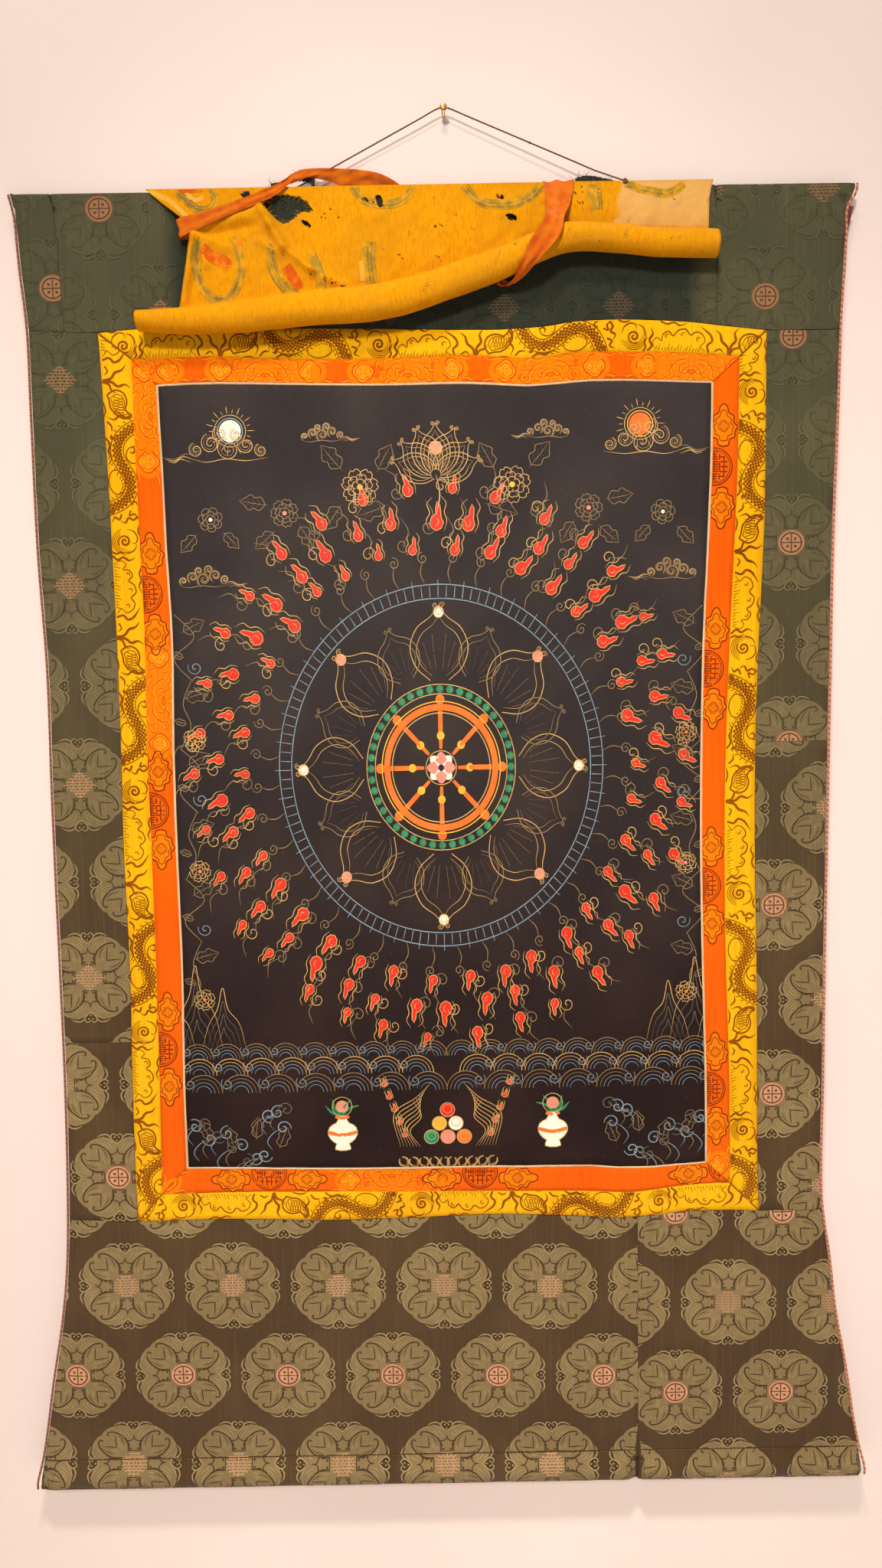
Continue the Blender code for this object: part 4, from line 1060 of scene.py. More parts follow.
def make_damask():
    # The head colours of each finish are painted sheen: green-grey, with the pattern barely lighter than its
    # ground
    ground = damask("damask_ground", srgb(40, 46, 36), srgb(75, 56, 34),
                    srgb(50, 56, 43), srgb(94, 74, 46))
    inks = [
        damask("damask_disc", srgb(42, 48, 38), srgb(130, 112, 75), srgb(52, 58, 45), srgb(148, 129, 88)),
        damask("damask_dark", srgb(36, 41, 32), srgb(66, 47, 28), srgb(46, 51, 39), srgb(80, 60, 36)),
        damask("damask_thread", srgb(49, 55, 44), srgb(158, 140, 99), srgb(58, 63, 50), srgb(174, 155, 113)),
        damask("damask_copper", srgb(92, 76, 58), srgb(206, 160, 124), srgb(80, 66, 50), srgb(150, 116, 84)),
        damask("damask_coin_line", srgb(48, 38, 30), srgb(112, 58, 34), srgb(56, 46, 36), srgb(130, 74, 46)),
    ]
    levels = [0.00030, 0.00045, 0.00060, 0.00060, 0.00075]
    coin, round_bars, diamond_bars = (medallion(centre) for centre in ("coin", "round", "diamond"))
    bent_coin, bent_bars = medallion("coin", 20), medallion("round", 20)
    cloths = {}
    for node, lattice in LATTICES.items():
        wrapped = node.startswith(("mount_foot", "mount_top"))
        on_foot = node.startswith("mount_foot")
        if wrapped:
            cloth = wrapped_cloth(node, ground, ["wall_pin"])
        else:
            cloth = hung_cloth(node, 0.0012, ground, ["mount_top_centre"])
        low, high = cloth.outline.real.min(), cloth.outline.real.max()
        foot, head = cloth.outline.imag.min(), cloth.outline.imag.max()
        pattern = Drawing()
        for row in range(-14, 15):
            z = lattice.z + row * PITCH_Z
            for column in range(-8, 9):
                x = lattice.x + (column + (row % 2) / 2) * PITCH_X
                place = complex(x, z + (x - lattice.x) * lattice.slope)
                if low - 0.06 < x < high + 0.06 and foot - 0.06 < place.imag < head + 0.06:
                    if on_foot and place.imag < STITCH_Z + MEDALLION_HEIGHT:
                        pattern.stamp(bent_bars if row % 2 else bent_coin, place)
                    elif row % 2:
                        pattern.stamp(round_bars if on_foot else diamond_bars, place)
                    else:
                        pattern.stamp(coin, place)
        lay(node + "_pattern", pattern, cloth, inks, levels)
        if on_foot:
            seam = Drawing(0.004)
            for x in np.arange(low + 0.002, high - 0.002, STITCH_PITCH):
                seam.stroke([complex(x, STITCH_Z), complex(x + 0.0046, STITCH_Z)], 0.0016, 0, 1, 1, False)
                seam.stroke([complex(x, STITCH_Z - 0.0014), complex(x + 0.003, STITCH_Z - 0.0014)],
                            0.0008, 1, 1, 1, False)
            lay(node + "_seam", seam, cloth, [inks[1], inks[0]], [0.0009, 0.0010])
        cloths[node] = cloth
    return cloths


# Yellow brocade: one repeat along a strip, in millimetres, with 0 at the middle of its width
BROCADE_REPEAT = 292
BODY = [(-4, 30), (-1, 17), (6, 5), (17, -3), (30, -4), (43, 2), (56, 9), (69, 10),
        (80, 4), (87, -7), (92, -22)]
BODY_HALF = 7.2
BALD_LOBES = [
    [(47, -4), (53, 2), (63, 4), (72, 0), (74, -8), (67, -14), (55, -15), (47, -10), (47, -4)],
    [(20, 18), (23, 9), (31, 6), (39, 11), (40, 19)],
]
BACK_FINS = 24
SCROLL_CENTRE = 128 - 1j
SCROLL_RADIUS = 14.5
CLOUD = [(152, -13), (150, -6), (155, -1), (160, -5), (161, 2), (168, 6), (173, 1), (178, 7),
         (187, 9), (193, 3), (199, 7), (207, 4), (210, -3), (205, -9), (211, -14)]
CLOUD_CURLS = [(166, 0), (184, 2), (202, -2)]
LEAF = [(254, -12), (249, -3), (252, 6), (262, 10), (271, 8), (279, 15), (281, 6), (276, -3),
        (268, -9), (260, -10), (254, -12)]
TENDRILS = [
    ([(238, -16), (236, -7), (229, -1), (227, 6), (221, 11)], 3.0),
    ([(240, -16), (240, -6), (245, 1), (243, 9), (247, 15)], 3.0),
    ([(239, -17), (243, -9), (250, -6), (252, -1)], 2.4),
    ([(215, -15), (213, -7), (218, -2), (216, 4), (210, 9), (204, 13)], 2.6),
    ([(144, -16), (149, -10), (146, -4), (150, 3), (147, 10)], 2.6),
    ([(139, -17), (142, -11), (140, -6), (144, -1)], 2.2),
    ([(100, 16), (104, 10), (101, 5), (107, 1), (104, -5)], 2.4),
    ([(97, -3), (103, -6), (100, -11), (106, -14)], 2.4),
    ([(93, 8), (99, 6), (97, 12), (104, 16)], 2.0),
    ([(110, 17), (116, 15), (124, 17)], 2.0),
    ([(158, 17), (166, 14), (173, 16), (180, 13), (188, 16)], 2.0),
    ([(10, -17), (17, -12), (25, -14), (33, -11), (41, -15)], 2.2),
    ([(-16, 15), (-12, 8), (-15, 2), (-10, -5), (-13, -13)], 2.4),
    ([(-8, -14), (-3, -9), (4, -9)], 2.0),
    ([(222, -13), (228, -10), (232, -14)], 1.8),
    ([(262, -17), (271, -15), (280, -17)], 1.8),
]
CLAWS = [(8, -8), (25, 13), (60, 17), (86, 12), (94, -12)]


def comma(drawing, place, turn, size, ink):
    """A small hooked flame."""
    hook = [place + size * cmath.exp(1j * turn) * spot
            for spot in (-0.6 - 0.5j, -0.1 - 0.3j, 0.25 + 0.05j, 0.2 + 0.55j, -0.1 + 0.6j)]
    drawing.stroke(hook, 0.34 * size, ink, 0.2, 0.5)


def scaled_body(tile, line, half, ink):
    """A body with rows of scales between two edge lines, and fins down its back."""
    run = np.concatenate([[0], np.cumsum(abs(np.diff(line)))])
    ahead = np.gradient(line, run)
    ahead /= abs(ahead)
    pitch = 5.0
    for k in range(int(run[-1] / pitch * 2)):
        s = (k + 0.5) * pitch / 2
        spot = np.interp(s, run, line.real) + 1j * np.interp(s, run, line.imag)
        way = np.interp(s, run, ahead.real) + 1j * np.interp(s, run, ahead.imag)
        rows = (-0.58, 0.0, 0.58) if k % 2 else (-0.29, 0.29)
        for row in rows:
            round_scale = np.exp(1j * np.arange(6) / 6 * 2 * math.pi)
            shape = (1.90 * round_scale.real + 1.68j * round_scale.imag) * way
            tile.fill(spot + 1j * way * row * half + shape, ink)
    for edge in (-1, 1):
        tile.stroke(list(line + 1j * ahead * half * edge), 1.1, ink, 1, 1, False)
    for k in range(BACK_FINS):
        s = (k + 0.5) / BACK_FINS * run[-1]
        spot = np.interp(s, run, line.real) + 1j * np.interp(s, run, line.imag)
        way = np.interp(s, run, ahead.real) + 1j * np.interp(s, run, ahead.imag)
        root = spot - 1j * way * (half + 0.6)
        tile.stroke([root - 1.2 * way, root - 2.6j * way, root + (1.6 - 3.4j) * way], 1.3, ink)


def brocade_tile():
    tile = Drawing(2.6)
    line = through(BODY, 3.0)
    scaled_body(tile, line, BODY_HALF, 0)
    for lobe in BALD_LOBES:
        tile.stroke(lobe, 1.3, 0, 0.8, 0.8)
    turns = np.linspace(0, 2 * math.pi * 1.75, 26)
    spiral = SCROLL_CENTRE + (0.6 + 1.05 * turns) * 0.62 * np.exp(1j * (turns + 0.6))
    tile.stroke(list(spiral), 2.6, 0, 0.5, 0.4, False)
    for k in range(4):
        reach = SCROLL_RADIUS - 2.0 * k
        arc = SCROLL_CENTRE + reach * np.exp(1j * np.linspace(-2.9 + 0.1 * k, 0.9 - 0.3 * k, 16))
        tile.stroke(list(arc), 0.9, 0, 0.6, 0.3, False)
    tile.stroke([SCROLL_CENTRE + spot for spot in (-14 + 3j, -11 + 11j, -3 + 15j, 3 + 12j, 2 + 8j)],
                1.6, 0)
    tile.stroke([SCROLL_CENTRE + spot for spot in (4 + 14j, 10 + 11j, 13 + 5j, 12 - 1j)], 1.6, 0)
    tile.stroke(CLOUD, 1.5, 0, 0.5, 0.5)
    for x, z in CLOUD_CURLS:
        turns = np.linspace(0.4, 5.4, 12)
        tile.stroke(list(complex(x, z) + 0.62 * turns * np.exp(-1j * turns)), 1.2, 0, 0.6, 0.8)
    for k in range(15):
        x = 153 + 3.6 * k
        reach = 5 + 2.4 * math.sin(k * 1.9)
        tile.stroke([(x, -15), (x + 2, -15 + reach)], 0.9, 0, 0.9, 0.6, False)
    tile.stroke(LEAF, 1.9, 0, 1, 1)
    tile.stroke([spot * 0.72 + (266 * 0.28) + 0.3j for spot in (complex(*p) for p in LEAF)], 0.9, 0, 1, 1)
    for k in range(6):
        tile.stroke([(256 + 3.4 * k, -5), (260 + 3.0 * k, 6)], 0.8, 0, 1, 1, False)
        tile.stroke([(258 + 3.2 * k, 6), (262 + 2.8 * k, -6)], 0.7, 0, 1, 1, False)
    for points, width in TENDRILS:
        tile.stroke(points, width, 0, 0.9, 0.15)
    for k, (x, z) in enumerate(CLAWS):
        for turn in (-0.9, 0.0, 0.9):
            comma(tile, complex(x, z) + 2.4 * cmath.exp(1j * (turn + k)), turn + 1.3 * k, 4.6, 0)
    return tile


# Where each yellow strip's first repeat starts, along its strip, and which way it runs
Start = namedtuple("Start", "shift flip")
BROCADE_STARTS = {
    "top": Start(-0.118, False),
    "foot": Start(-0.060, True),
    "left": Start(-0.200, False),
    "right": Start(-0.110, True),
}


def painted_mitre_shade(cloth):
    """Painted shade: dark lines along the joints where a strip's two slanting ends meet its neighbours."""
    seams = Drawing()
    for end in cloth.ends:
        seams.stroke(end, 0.0011, 0, 1, 1, False)
    return seams


def strip_pattern(cloth, tile, repeat, start):
    """Repeats of a tile in millimetres along a strip."""
    long = abs(np.diff(cloth.middle)).sum()
    flat = Drawing()
    for k in range(-1, math.ceil((long - start.shift) / (repeat * MM)) + 1):
        place = start.shift + (k + (1 if start.flip else 0)) * repeat * MM
        flat.stamp(tile, complex(place, 0), MM, 0.0, start.flip)
    return along(flat, cloth.middle)


def make_yellow_borders():
    ground = woven("yellow_brocade", srgb(255, 196, 16), srgb(244, 170, 6), 0.0009,
                   (320, 5, 5), 0.46, 0.0)
    ink = woven("yellow_brocade_brown", srgb(160, 92, 12), srgb(122, 62, 8), 0.0007, sheen=0.0)
    # seam_shade: the colour of the painted shade along the mitre joints
    seam = woven("seam_shade", srgb(150, 84, 12), srgb(120, 60, 8), sheen=0.0)
    tile = brocade_tile()
    cloths = {}
    for side, start in BROCADE_STARTS.items():
        node = "yellow_border_" + side
        cloth = strip_cloth(node, 0.0012, ground, ["mount_top_centre"], 130, 6)
        lay(node + "_pattern", strip_pattern(cloth, tile, BROCADE_REPEAT, start), cloth,
            [ink], [0.00025])
        # Painted shade along the mitre joints
        lay(node + "_seams", painted_mitre_shade(cloth), cloth, [seam], [0.00050])
        cloths[node] = cloth
    return cloths


# Orange brocade: a group of scrolls between two blossoms, in millimetres, mirrored about 0
ORANGE_REPEAT = 163
BLOSSOM_PLACE = 51
SCROLLS = [
    [(0, 4), (6, 9), (13, 6), (12, 0), (6, -1), (5, 3)],
    [(0, -3), (8, -7), (17, -4), (22, 2), (18, 8), (13, 9)],
    [(4, -13), (12, -11), (19, -14), (27, -10), (25, -4), (20, -5)],
    [(8, 15), (16, 12), (24, 15), (32, 11), (31, 5), (26, 5), (27, 9)],
    [(22, -1), (29, 1), (36, -3), (35, -9), (29, -10), (28, -6)],
    [(30, 15), (38, 16), (43, 12), (40, 8)],
    [(32, -14), (39, -16), (46, -14)],
    [(0, 12), (4, 16), (10, 17)],
    [(0, -16), (5, -17), (11, -16)],
    [(36, 2), (40, 5), (39, 10)],
    [(60, 14), (68, 10), (74, 12), (80, 8)],
    [(61, -13), (70, -11), (76, -15), (84, -13)],
    [(1, 0), (7, 4), (14, 13), (20, 10)],
    [(15, 1), (19, -2), (24, 5), (23, 10), (29, 13)],
]
GROUP_EDGE = [(0, 17), (14, 19), (28, 17), (44, 16), (56, 17), (66, 12), (72, 4), (70, -6),
              (62, -14), (48, -17), (30, -16), (14, -19), (0, -17)]


def blossom(drawing, place, size, line, fill):
    """A four-lobed flower with a double outline."""
    turns = np.linspace(0, 2 * math.pi, 41)
    lobes = (0.72 + 0.28 * abs(np.cos(2 * turns + 0.2))**0.6) * np.exp(1j * turns)
    drawing.fill((place + size * lobes)[:-1], fill, 2)
    drawing.stroke(list(place + size * lobes), 0.11 * size, line, 1, 1, False)
    drawing.stroke(list(place + 0.72 * size * lobes), 0.07 * size, line, 1, 1, False)
    for k in range(4):
        spoke = cmath.exp(0.5j * math.pi * (k + 0.5))
        drawing.stroke([place + 0.12 * size * spoke, place + 0.42 * size * spoke], 0.08 * size, line)


def orange_group():
    """Inks: 0 the paler ground of the group, 1 its dark lines, 2 its bright threads."""
    half = Drawing(2.6)
    for points in SCROLLS:
        half.stroke(points, 2.0, 2, 0.6, 0.4)
        half.stroke([(x + 0.9, z - 0.9) for x, z in points], 0.9, 1, 0.6, 0.4)
    blossom(half, BLOSSOM_PLACE + 0.5j, 12.5, 1, 2)
    tile = Drawing(2.6)
    edge = through(GROUP_EDGE, 5.0)
    tile.fill(np.concatenate([edge, -edge[::-1].conj()]) * (0.97 + 0j), 0, 3)
    tile.stamp(half)
    tile.stamp(half, flip=True)
    for reach in (3.4, 6.0):
        arc = 1j * 1.5 + reach * np.exp(1j * np.linspace(0.3, math.pi - 0.3, 9))
        tile.stroke(list(arc), 1.2, 1, 0.6, 0.6, False)
    return tile


def barred_roundel(radius, line, fill):
    """A disc of short upright and level bars between two rings."""
    made = Drawing(2.0)
    made.disc(0j, radius, fill, 32, 3)
    made.ring(0j, radius - 0.8, 1.3, line, 40)
    made.ring(0j, radius - 3.2, 0.9, line, 36)
    inner = radius - 4.6
    bars = 6
    for k in range(-bars, bars + 1):
        x = inner * k / bars * 0.96
        reach = math.sqrt(max(0.0, inner**2 - x**2))
        for low, high in ((-0.94, -0.36), (-0.24, 0.30), (0.42, 0.94)):
            if (k + (low < -0.9)) % 2 and low != -0.24:
                continue
            made.stroke([complex(x, low * reach), complex(x, high * reach)], 1.5, line, 1, 1, False)
    for height in (-0.62, -0.3, 0.0, 0.36, 0.66):
        reach = 0.9 * inner * math.sqrt(1 - height**2)
        for low, high in ((-1.0, -0.55), (-0.38, 0.38), (0.55, 1.0)):
            made.stroke([complex(low * reach, height * inner), complex(high * reach, height * inner)],
                        1.4, line, 1, 1, False)
    return made


def cartouche(line, fill):
    """A lobed frame beside a roundel, with a small crossed flower in it."""
    made = Drawing(2.4)
    edge = through([(-9, 0), (-7, 6), (-1, 7), (2, 13), (8, 13), (13, 16), (19, 11), (25, 12),
                    (29, 6), (36, 4), (39, 0), (36, -4), (29, -6), (25, -12), (19, -11),
                    (13, -16), (8, -13), (2, -13), (-1, -7), (-7, -6), (-9, 0)], 2.6)
    made.fill(edge[:-1], fill, 2)
    made.stroke(list(edge), 1.4, line, 1, 1, False)
    made.stroke(list(14 + (edge - 14) * 0.74), 0.9, line, 1, 1, False)
    blossom(made, 14 + 0j, 6.5, line, fill)
    return made


# Roundels of the orange strips: how far along the strip, and how far off its middle
Roundel = namedtuple("Roundel", "along across")
ORANGE_ROUNDELS = {
    "top": [],
    "foot": [Roundel(0.116, 0.010), Roundel(0.374, 0.010), Roundel(0.676, 0.008)],
    "left": [Roundel(0.252, -0.013), Roundel(0.506, -0.013), Roundel(0.797, -0.013)],
    "right": [Roundel(0.110, -0.013), Roundel(0.342, -0.013), Roundel(0.600, -0.013), Roundel(0.850, -0.013)],
}
ORANGE_STARTS = {"top": 0.040, "foot": -0.06, "left": 0.05, "right": 0.02}


def orange_finish(name, light, dark):
    return woven(name, light, dark, 0.0008, (300, 4, 5), 0.48, 0.0)


def make_orange_borders():
    ground = orange_finish("orange_brocade", srgb(252, 108, 2), srgb(243, 94, 0))
    inks = [
        orange_finish("orange_pale_ground", srgb(255, 138, 6), srgb(252, 124, 2)),
        orange_finish("orange_dark_line", srgb(232, 84, 2), srgb(212, 68, 2)),
        orange_finish("orange_bright_thread", srgb(255, 164, 28), srgb(255, 146, 12)),
        orange_finish("orange_roundel_brown", srgb(150, 50, 8), srgb(116, 36, 6)),
        orange_finish("orange_roundel_ground", srgb(246, 112, 8), srgb(228, 92, 4)),
    ]
    group, roundel, frame_part = orange_group(), barred_roundel(22.0, 3, 4), cartouche(3, 0)
    cloths = {}
    for side, start in ORANGE_STARTS.items():
        node = "orange_border_" + side
        cloth = strip_cloth(node, 0.0012, ground, ["mount_top_centre"], 120, 6)
        long = abs(np.diff(cloth.middle)).sum()
        flat = Drawing()
        places = ORANGE_ROUNDELS[side]
        for k in range(-1, math.ceil(long / (ORANGE_REPEAT * MM)) + 1):
            x = start + k * ORANGE_REPEAT * MM
            if all(abs(x - place.along) > 0.095 for place in places):
                flat.stamp(group, complex(x, 0), MM)
        for place in places:
            for flip in (False, True):
                shift = -32 * MM if flip else 32 * MM
                flat.stamp(frame_part, complex(place.along + shift, 0.2 * place.across), MM, 0, flip)
            flat.stamp(roundel, complex(place.along, place.across), MM)
        lay(node + "_pattern", along(flat, cloth.middle), cloth, inks,
            [0.00020, 0.00036, 0.00030, 0.00044, 0.00036])
        # Painted shade along the mitre joints, in the dark line colour
        lay(node + "_seams", painted_mitre_shade(cloth), cloth, [inks[1]], [0.00060])
        cloths[node] = cloth
    return cloths


# Section of the cream fillet: across it and in front of the strip's own face, in metres
FILLET_SECTION = [
    (-0.0042, -0.0009), (-0.0014, -0.0005), (-0.0010, 0.0002), (0.0, 0.00055),
    (0.0010, 0.0002), (0.0014, -0.0005), (0.0042, -0.0009),
]


def make_fillets():
    cream = woven("cream_fillet", srgb(255, 226, 178), srgb(238, 196, 142), 0.0005, (300, 300, 60))
    for side in ("top", "foot", "left", "right"):
        node = "fillet_" + side
        first, second = (resampled(rail, 150) for rail in rails(node, 0.0012))
        middle = (first + second) / 2
        across = second - first
        across /= np.linalg.norm(across, axis=1)[:, None]
        grid = np.stack([middle + across * a - np.array([0, 1, 0]) * b
                         for a, b in FILLET_SECTION], axis=1)
        grid[..., 1] -= relief(grid[..., 0], grid[..., 2])
        grid[..., 1] -= 0.00012 * uneven(grid[..., 0], grid[..., 2], 0.012, 9)
        mesh = grid_mesh(node, grid)
        if sum(face.normal.y for face in mesh.polygons) > 0:
            mesh.flip_normals()
        piece = add_piece(node + "_cloth", mesh, [cream], [node])


# The painted picture: a lotus wheel in a ring of flames, over waves, under sun, moon and flowers
GOLD, DIM, RED, BLUE_GREY, WHITE, PINK, ORANGE, GREEN, YELLOW, PEAK = range(10)
PICTURE_LOW, PICTURE_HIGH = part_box("painting")
PICTURE_X = (PICTURE_LOW.x + PICTURE_HIGH.x) / 2
WHEEL = complex(PICTURE_X, -0.745)
WHEEL_TALL = 1.12
FINE_LINE = 0.00095
PETAL_SIDE = [(0.16, 0.0), (0.40, 0.18), (0.50, 0.44), (0.38, 0.70), (0.13, 0.86), (0.0, 1.0)]
FLAME = [(0, -0.50), (0.30, -0.34), (0.40, 0.02), (0.20, 0.30), (0.26, 0.58), (0.04, 1.02),
         (-0.06, 0.66), (-0.04, 0.40), (-0.30, 0.20), (-0.40, -0.12), (-0.24, -0.42)]
FLAME_LICKS = [
    [(-0.42, -0.5), (-0.62, 0.0), (-0.40, 0.42), (-0.58, 0.86), (-0.28, 1.22)],
    [(0.44, -0.5), (0.60, 0.05), (0.44, 0.50), (0.56, 0.90), (0.20, 1.36)],
    [(-0.02, -0.26), (0.14, -0.02), (0.0, 0.16)],
]


def moved(points, place, turn, size):
    way = cmath.exp(1j * turn) * size
    return [place + way * (complex(*p) if isinstance(p, tuple) else p) for p in points]


def curl(drawing, place, turn, size, ink, flip=False, width=FINE_LINE, rounds=1.4):
    turns = np.linspace(0, rounds * 2 * math.pi, round(16 * rounds))
    line = (1 - 0.86 * turns / turns[-1]) * np.exp(1j * (turns if flip else -turns))
    drawing.stroke(list(place + size * line * cmath.exp(1j * turn)), width, ink, 0.7, 0.9, False)


def flame(drawing, place, turn, size):
    outline = through(moved(FLAME + FLAME[:1], place, turn, size), size / 3)
    drawing.fill(outline[:-1], RED)
    drawing.stroke(list(outline), FINE_LINE, GOLD, 0.8, 0.8, False)
    for lick in FLAME_LICKS:
        drawing.stroke(moved(lick, place, turn, size), FINE_LINE, GOLD if lick[0][0] else PINK)


def petal(drawing, root, turn, long, wide, ink, veins=2):
    """A pointed lotus petal, its inner line and its veins."""
    for side in (-1, 1):
        edge = [(side * wide * x, long * z) for x, z in PETAL_SIDE]
        drawing.stroke(moved(edge, root, turn, 1.0), FINE_LINE * 1.1, ink, 0.8, 0.6)
        inner = [(side * wide * 0.78 * x, long * (0.06 + 0.80 * z)) for x, z in PETAL_SIDE]
        drawing.stroke(moved(inner, root, turn, 1.0), FINE_LINE * 0.7, ink)
        for k in range(veins):
            reach = 0.12 + 0.16 * k
            vein = [(side * reach * wide * 0.5, 0.16 * long), (side * reach * wide, (0.62 - 0.1 * k) * long)]
            drawing.stroke(moved(vein, root, turn, 1.0), FINE_LINE * 0.6, ink, smooth=False)
        tip = root + 1j * cmath.exp(1j * turn) * long
        curl(drawing, tip + side * 0.05 * long * cmath.exp(1j * turn), turn, 0.045 * long, ink,
             side > 0, FINE_LINE * 0.8)


def leaf(drawing, root, turn, size, ink):
    for side in (-1, 1):
        edge = [(0, 0), (side * 0.26, 0.22), (side * 0.20, 0.46), (side * 0.30, 0.56),
                (side * 0.14, 0.80), (0.0, 1.0)]
        drawing.stroke(moved(edge, root, turn, size), FINE_LINE, ink, 0.8, 0.5)
        for k in range(3):
            vein = [(0, 0.18 + 0.2 * k), (side * 0.16, 0.34 + 0.2 * k)]
            drawing.stroke(moved(vein, root, turn, size), FINE_LINE * 0.6, ink, smooth=False)
    drawing.stroke(moved([(0, -0.12), (0.02, 0.4), (0, 0.94)], root, turn, size), FINE_LINE * 0.8, ink)


def peony(drawing, place, turn, size, ink, heart):
    """A round flower of lobed petals in three rings round a coloured heart."""
    for reach, count, phase in ((1.0, 7, 0.0), (0.70, 6, 0.4), (0.42, 5, 0.1)):
        for k in range(count):
            angle = turn + phase + k * 2 * math.pi / count
            root = place + cmath.exp(1j * angle) * reach * size * 0.45
            wide = 1.25 * size * reach * math.pi / count
            lobe = [(-0.5 * wide, 0), (-0.62 * wide, 0.30 * size * reach), (-0.2 * wide, 0.56 * size * reach),
                    (0, 0.47 * size * reach), (0.2 * wide, 0.56 * size * reach),
                    (0.62 * wide, 0.30 * size * reach), (0.5 * wide, 0)]
            drawing.stroke(moved(lobe, root, angle - math.pi / 2, 1.0), FINE_LINE, ink, 0.6, 0.6)
    drawing.disc(place, 0.16 * size, heart, 12)


def cloud(drawing, place, size, flip, ink, shade):
    """A bank of curled lobes with a trailing tail."""
    way = -1 if flip else 1
    lobes = ((0.0, 0.0, 0.36), (0.52, 0.16, 0.30), (-0.50, 0.10, 0.28), (0.95, -0.02, 0.22),
             (-0.92, -0.06, 0.20), (0.24, 0.42, 0.24), (-0.22, 0.38, 0.20))
    for x, z, reach in lobes:
        spot = place + size * complex(way * x, z)
        curl(drawing, spot, 1.2 * way, reach * size, ink, flip, FINE_LINE * 1.1, 1.6)
        curl(drawing, spot, 1.2 * way + 0.3, 0.82 * reach * size, shade, flip, FINE_LINE * 0.8, 1.2)
    for k in range(3):
        tail = [(way * (0.9 + 0.1 * k), -0.22 - 0.07 * k), (way * (1.25 + 0.1 * k), -0.12 - 0.08 * k),
                (way * 1.55, -0.26 - 0.05 * k), (way * (1.95 - 0.1 * k), -0.20 - 0.06 * k)]
        drawing.stroke(moved(tail, place, 0, size), FINE_LINE, ink if k else shade)
    drawing.stroke(moved([(-1.1, -0.26), (-0.5, -0.34), (0.1, -0.28), (0.7, -0.36), (1.1, -0.26)],
                         place, 0, size), FINE_LINE, ink)


def jewel(drawing, place, size, ink):
    drawing.disc(place, size, ink, 18)
    drawing.ring(place, size, FINE_LINE, GOLD, 24)
    drawing.ring(place + 0.15j * size, 0.6 * size, FINE_LINE * 0.7, GOLD, 16)


# A petal of the wheel's hub, and the rows of flames: how far out, how many and how large
HUB_PETAL = [(0, 0.2), (0.42, 0.5), (0.3, 0.86), (0, 1.1), (-0.3, 0.86), (-0.42, 0.5), (0, 0.2)]
FlameRow = namedtuple("FlameRow", "reach count size")
FLAME_ROWS = [
    FlameRow(0.231, 34, 0.0150),
    FlameRow(0.260, 38, 0.0166),
    FlameRow(0.289, 34, 0.0142),
]


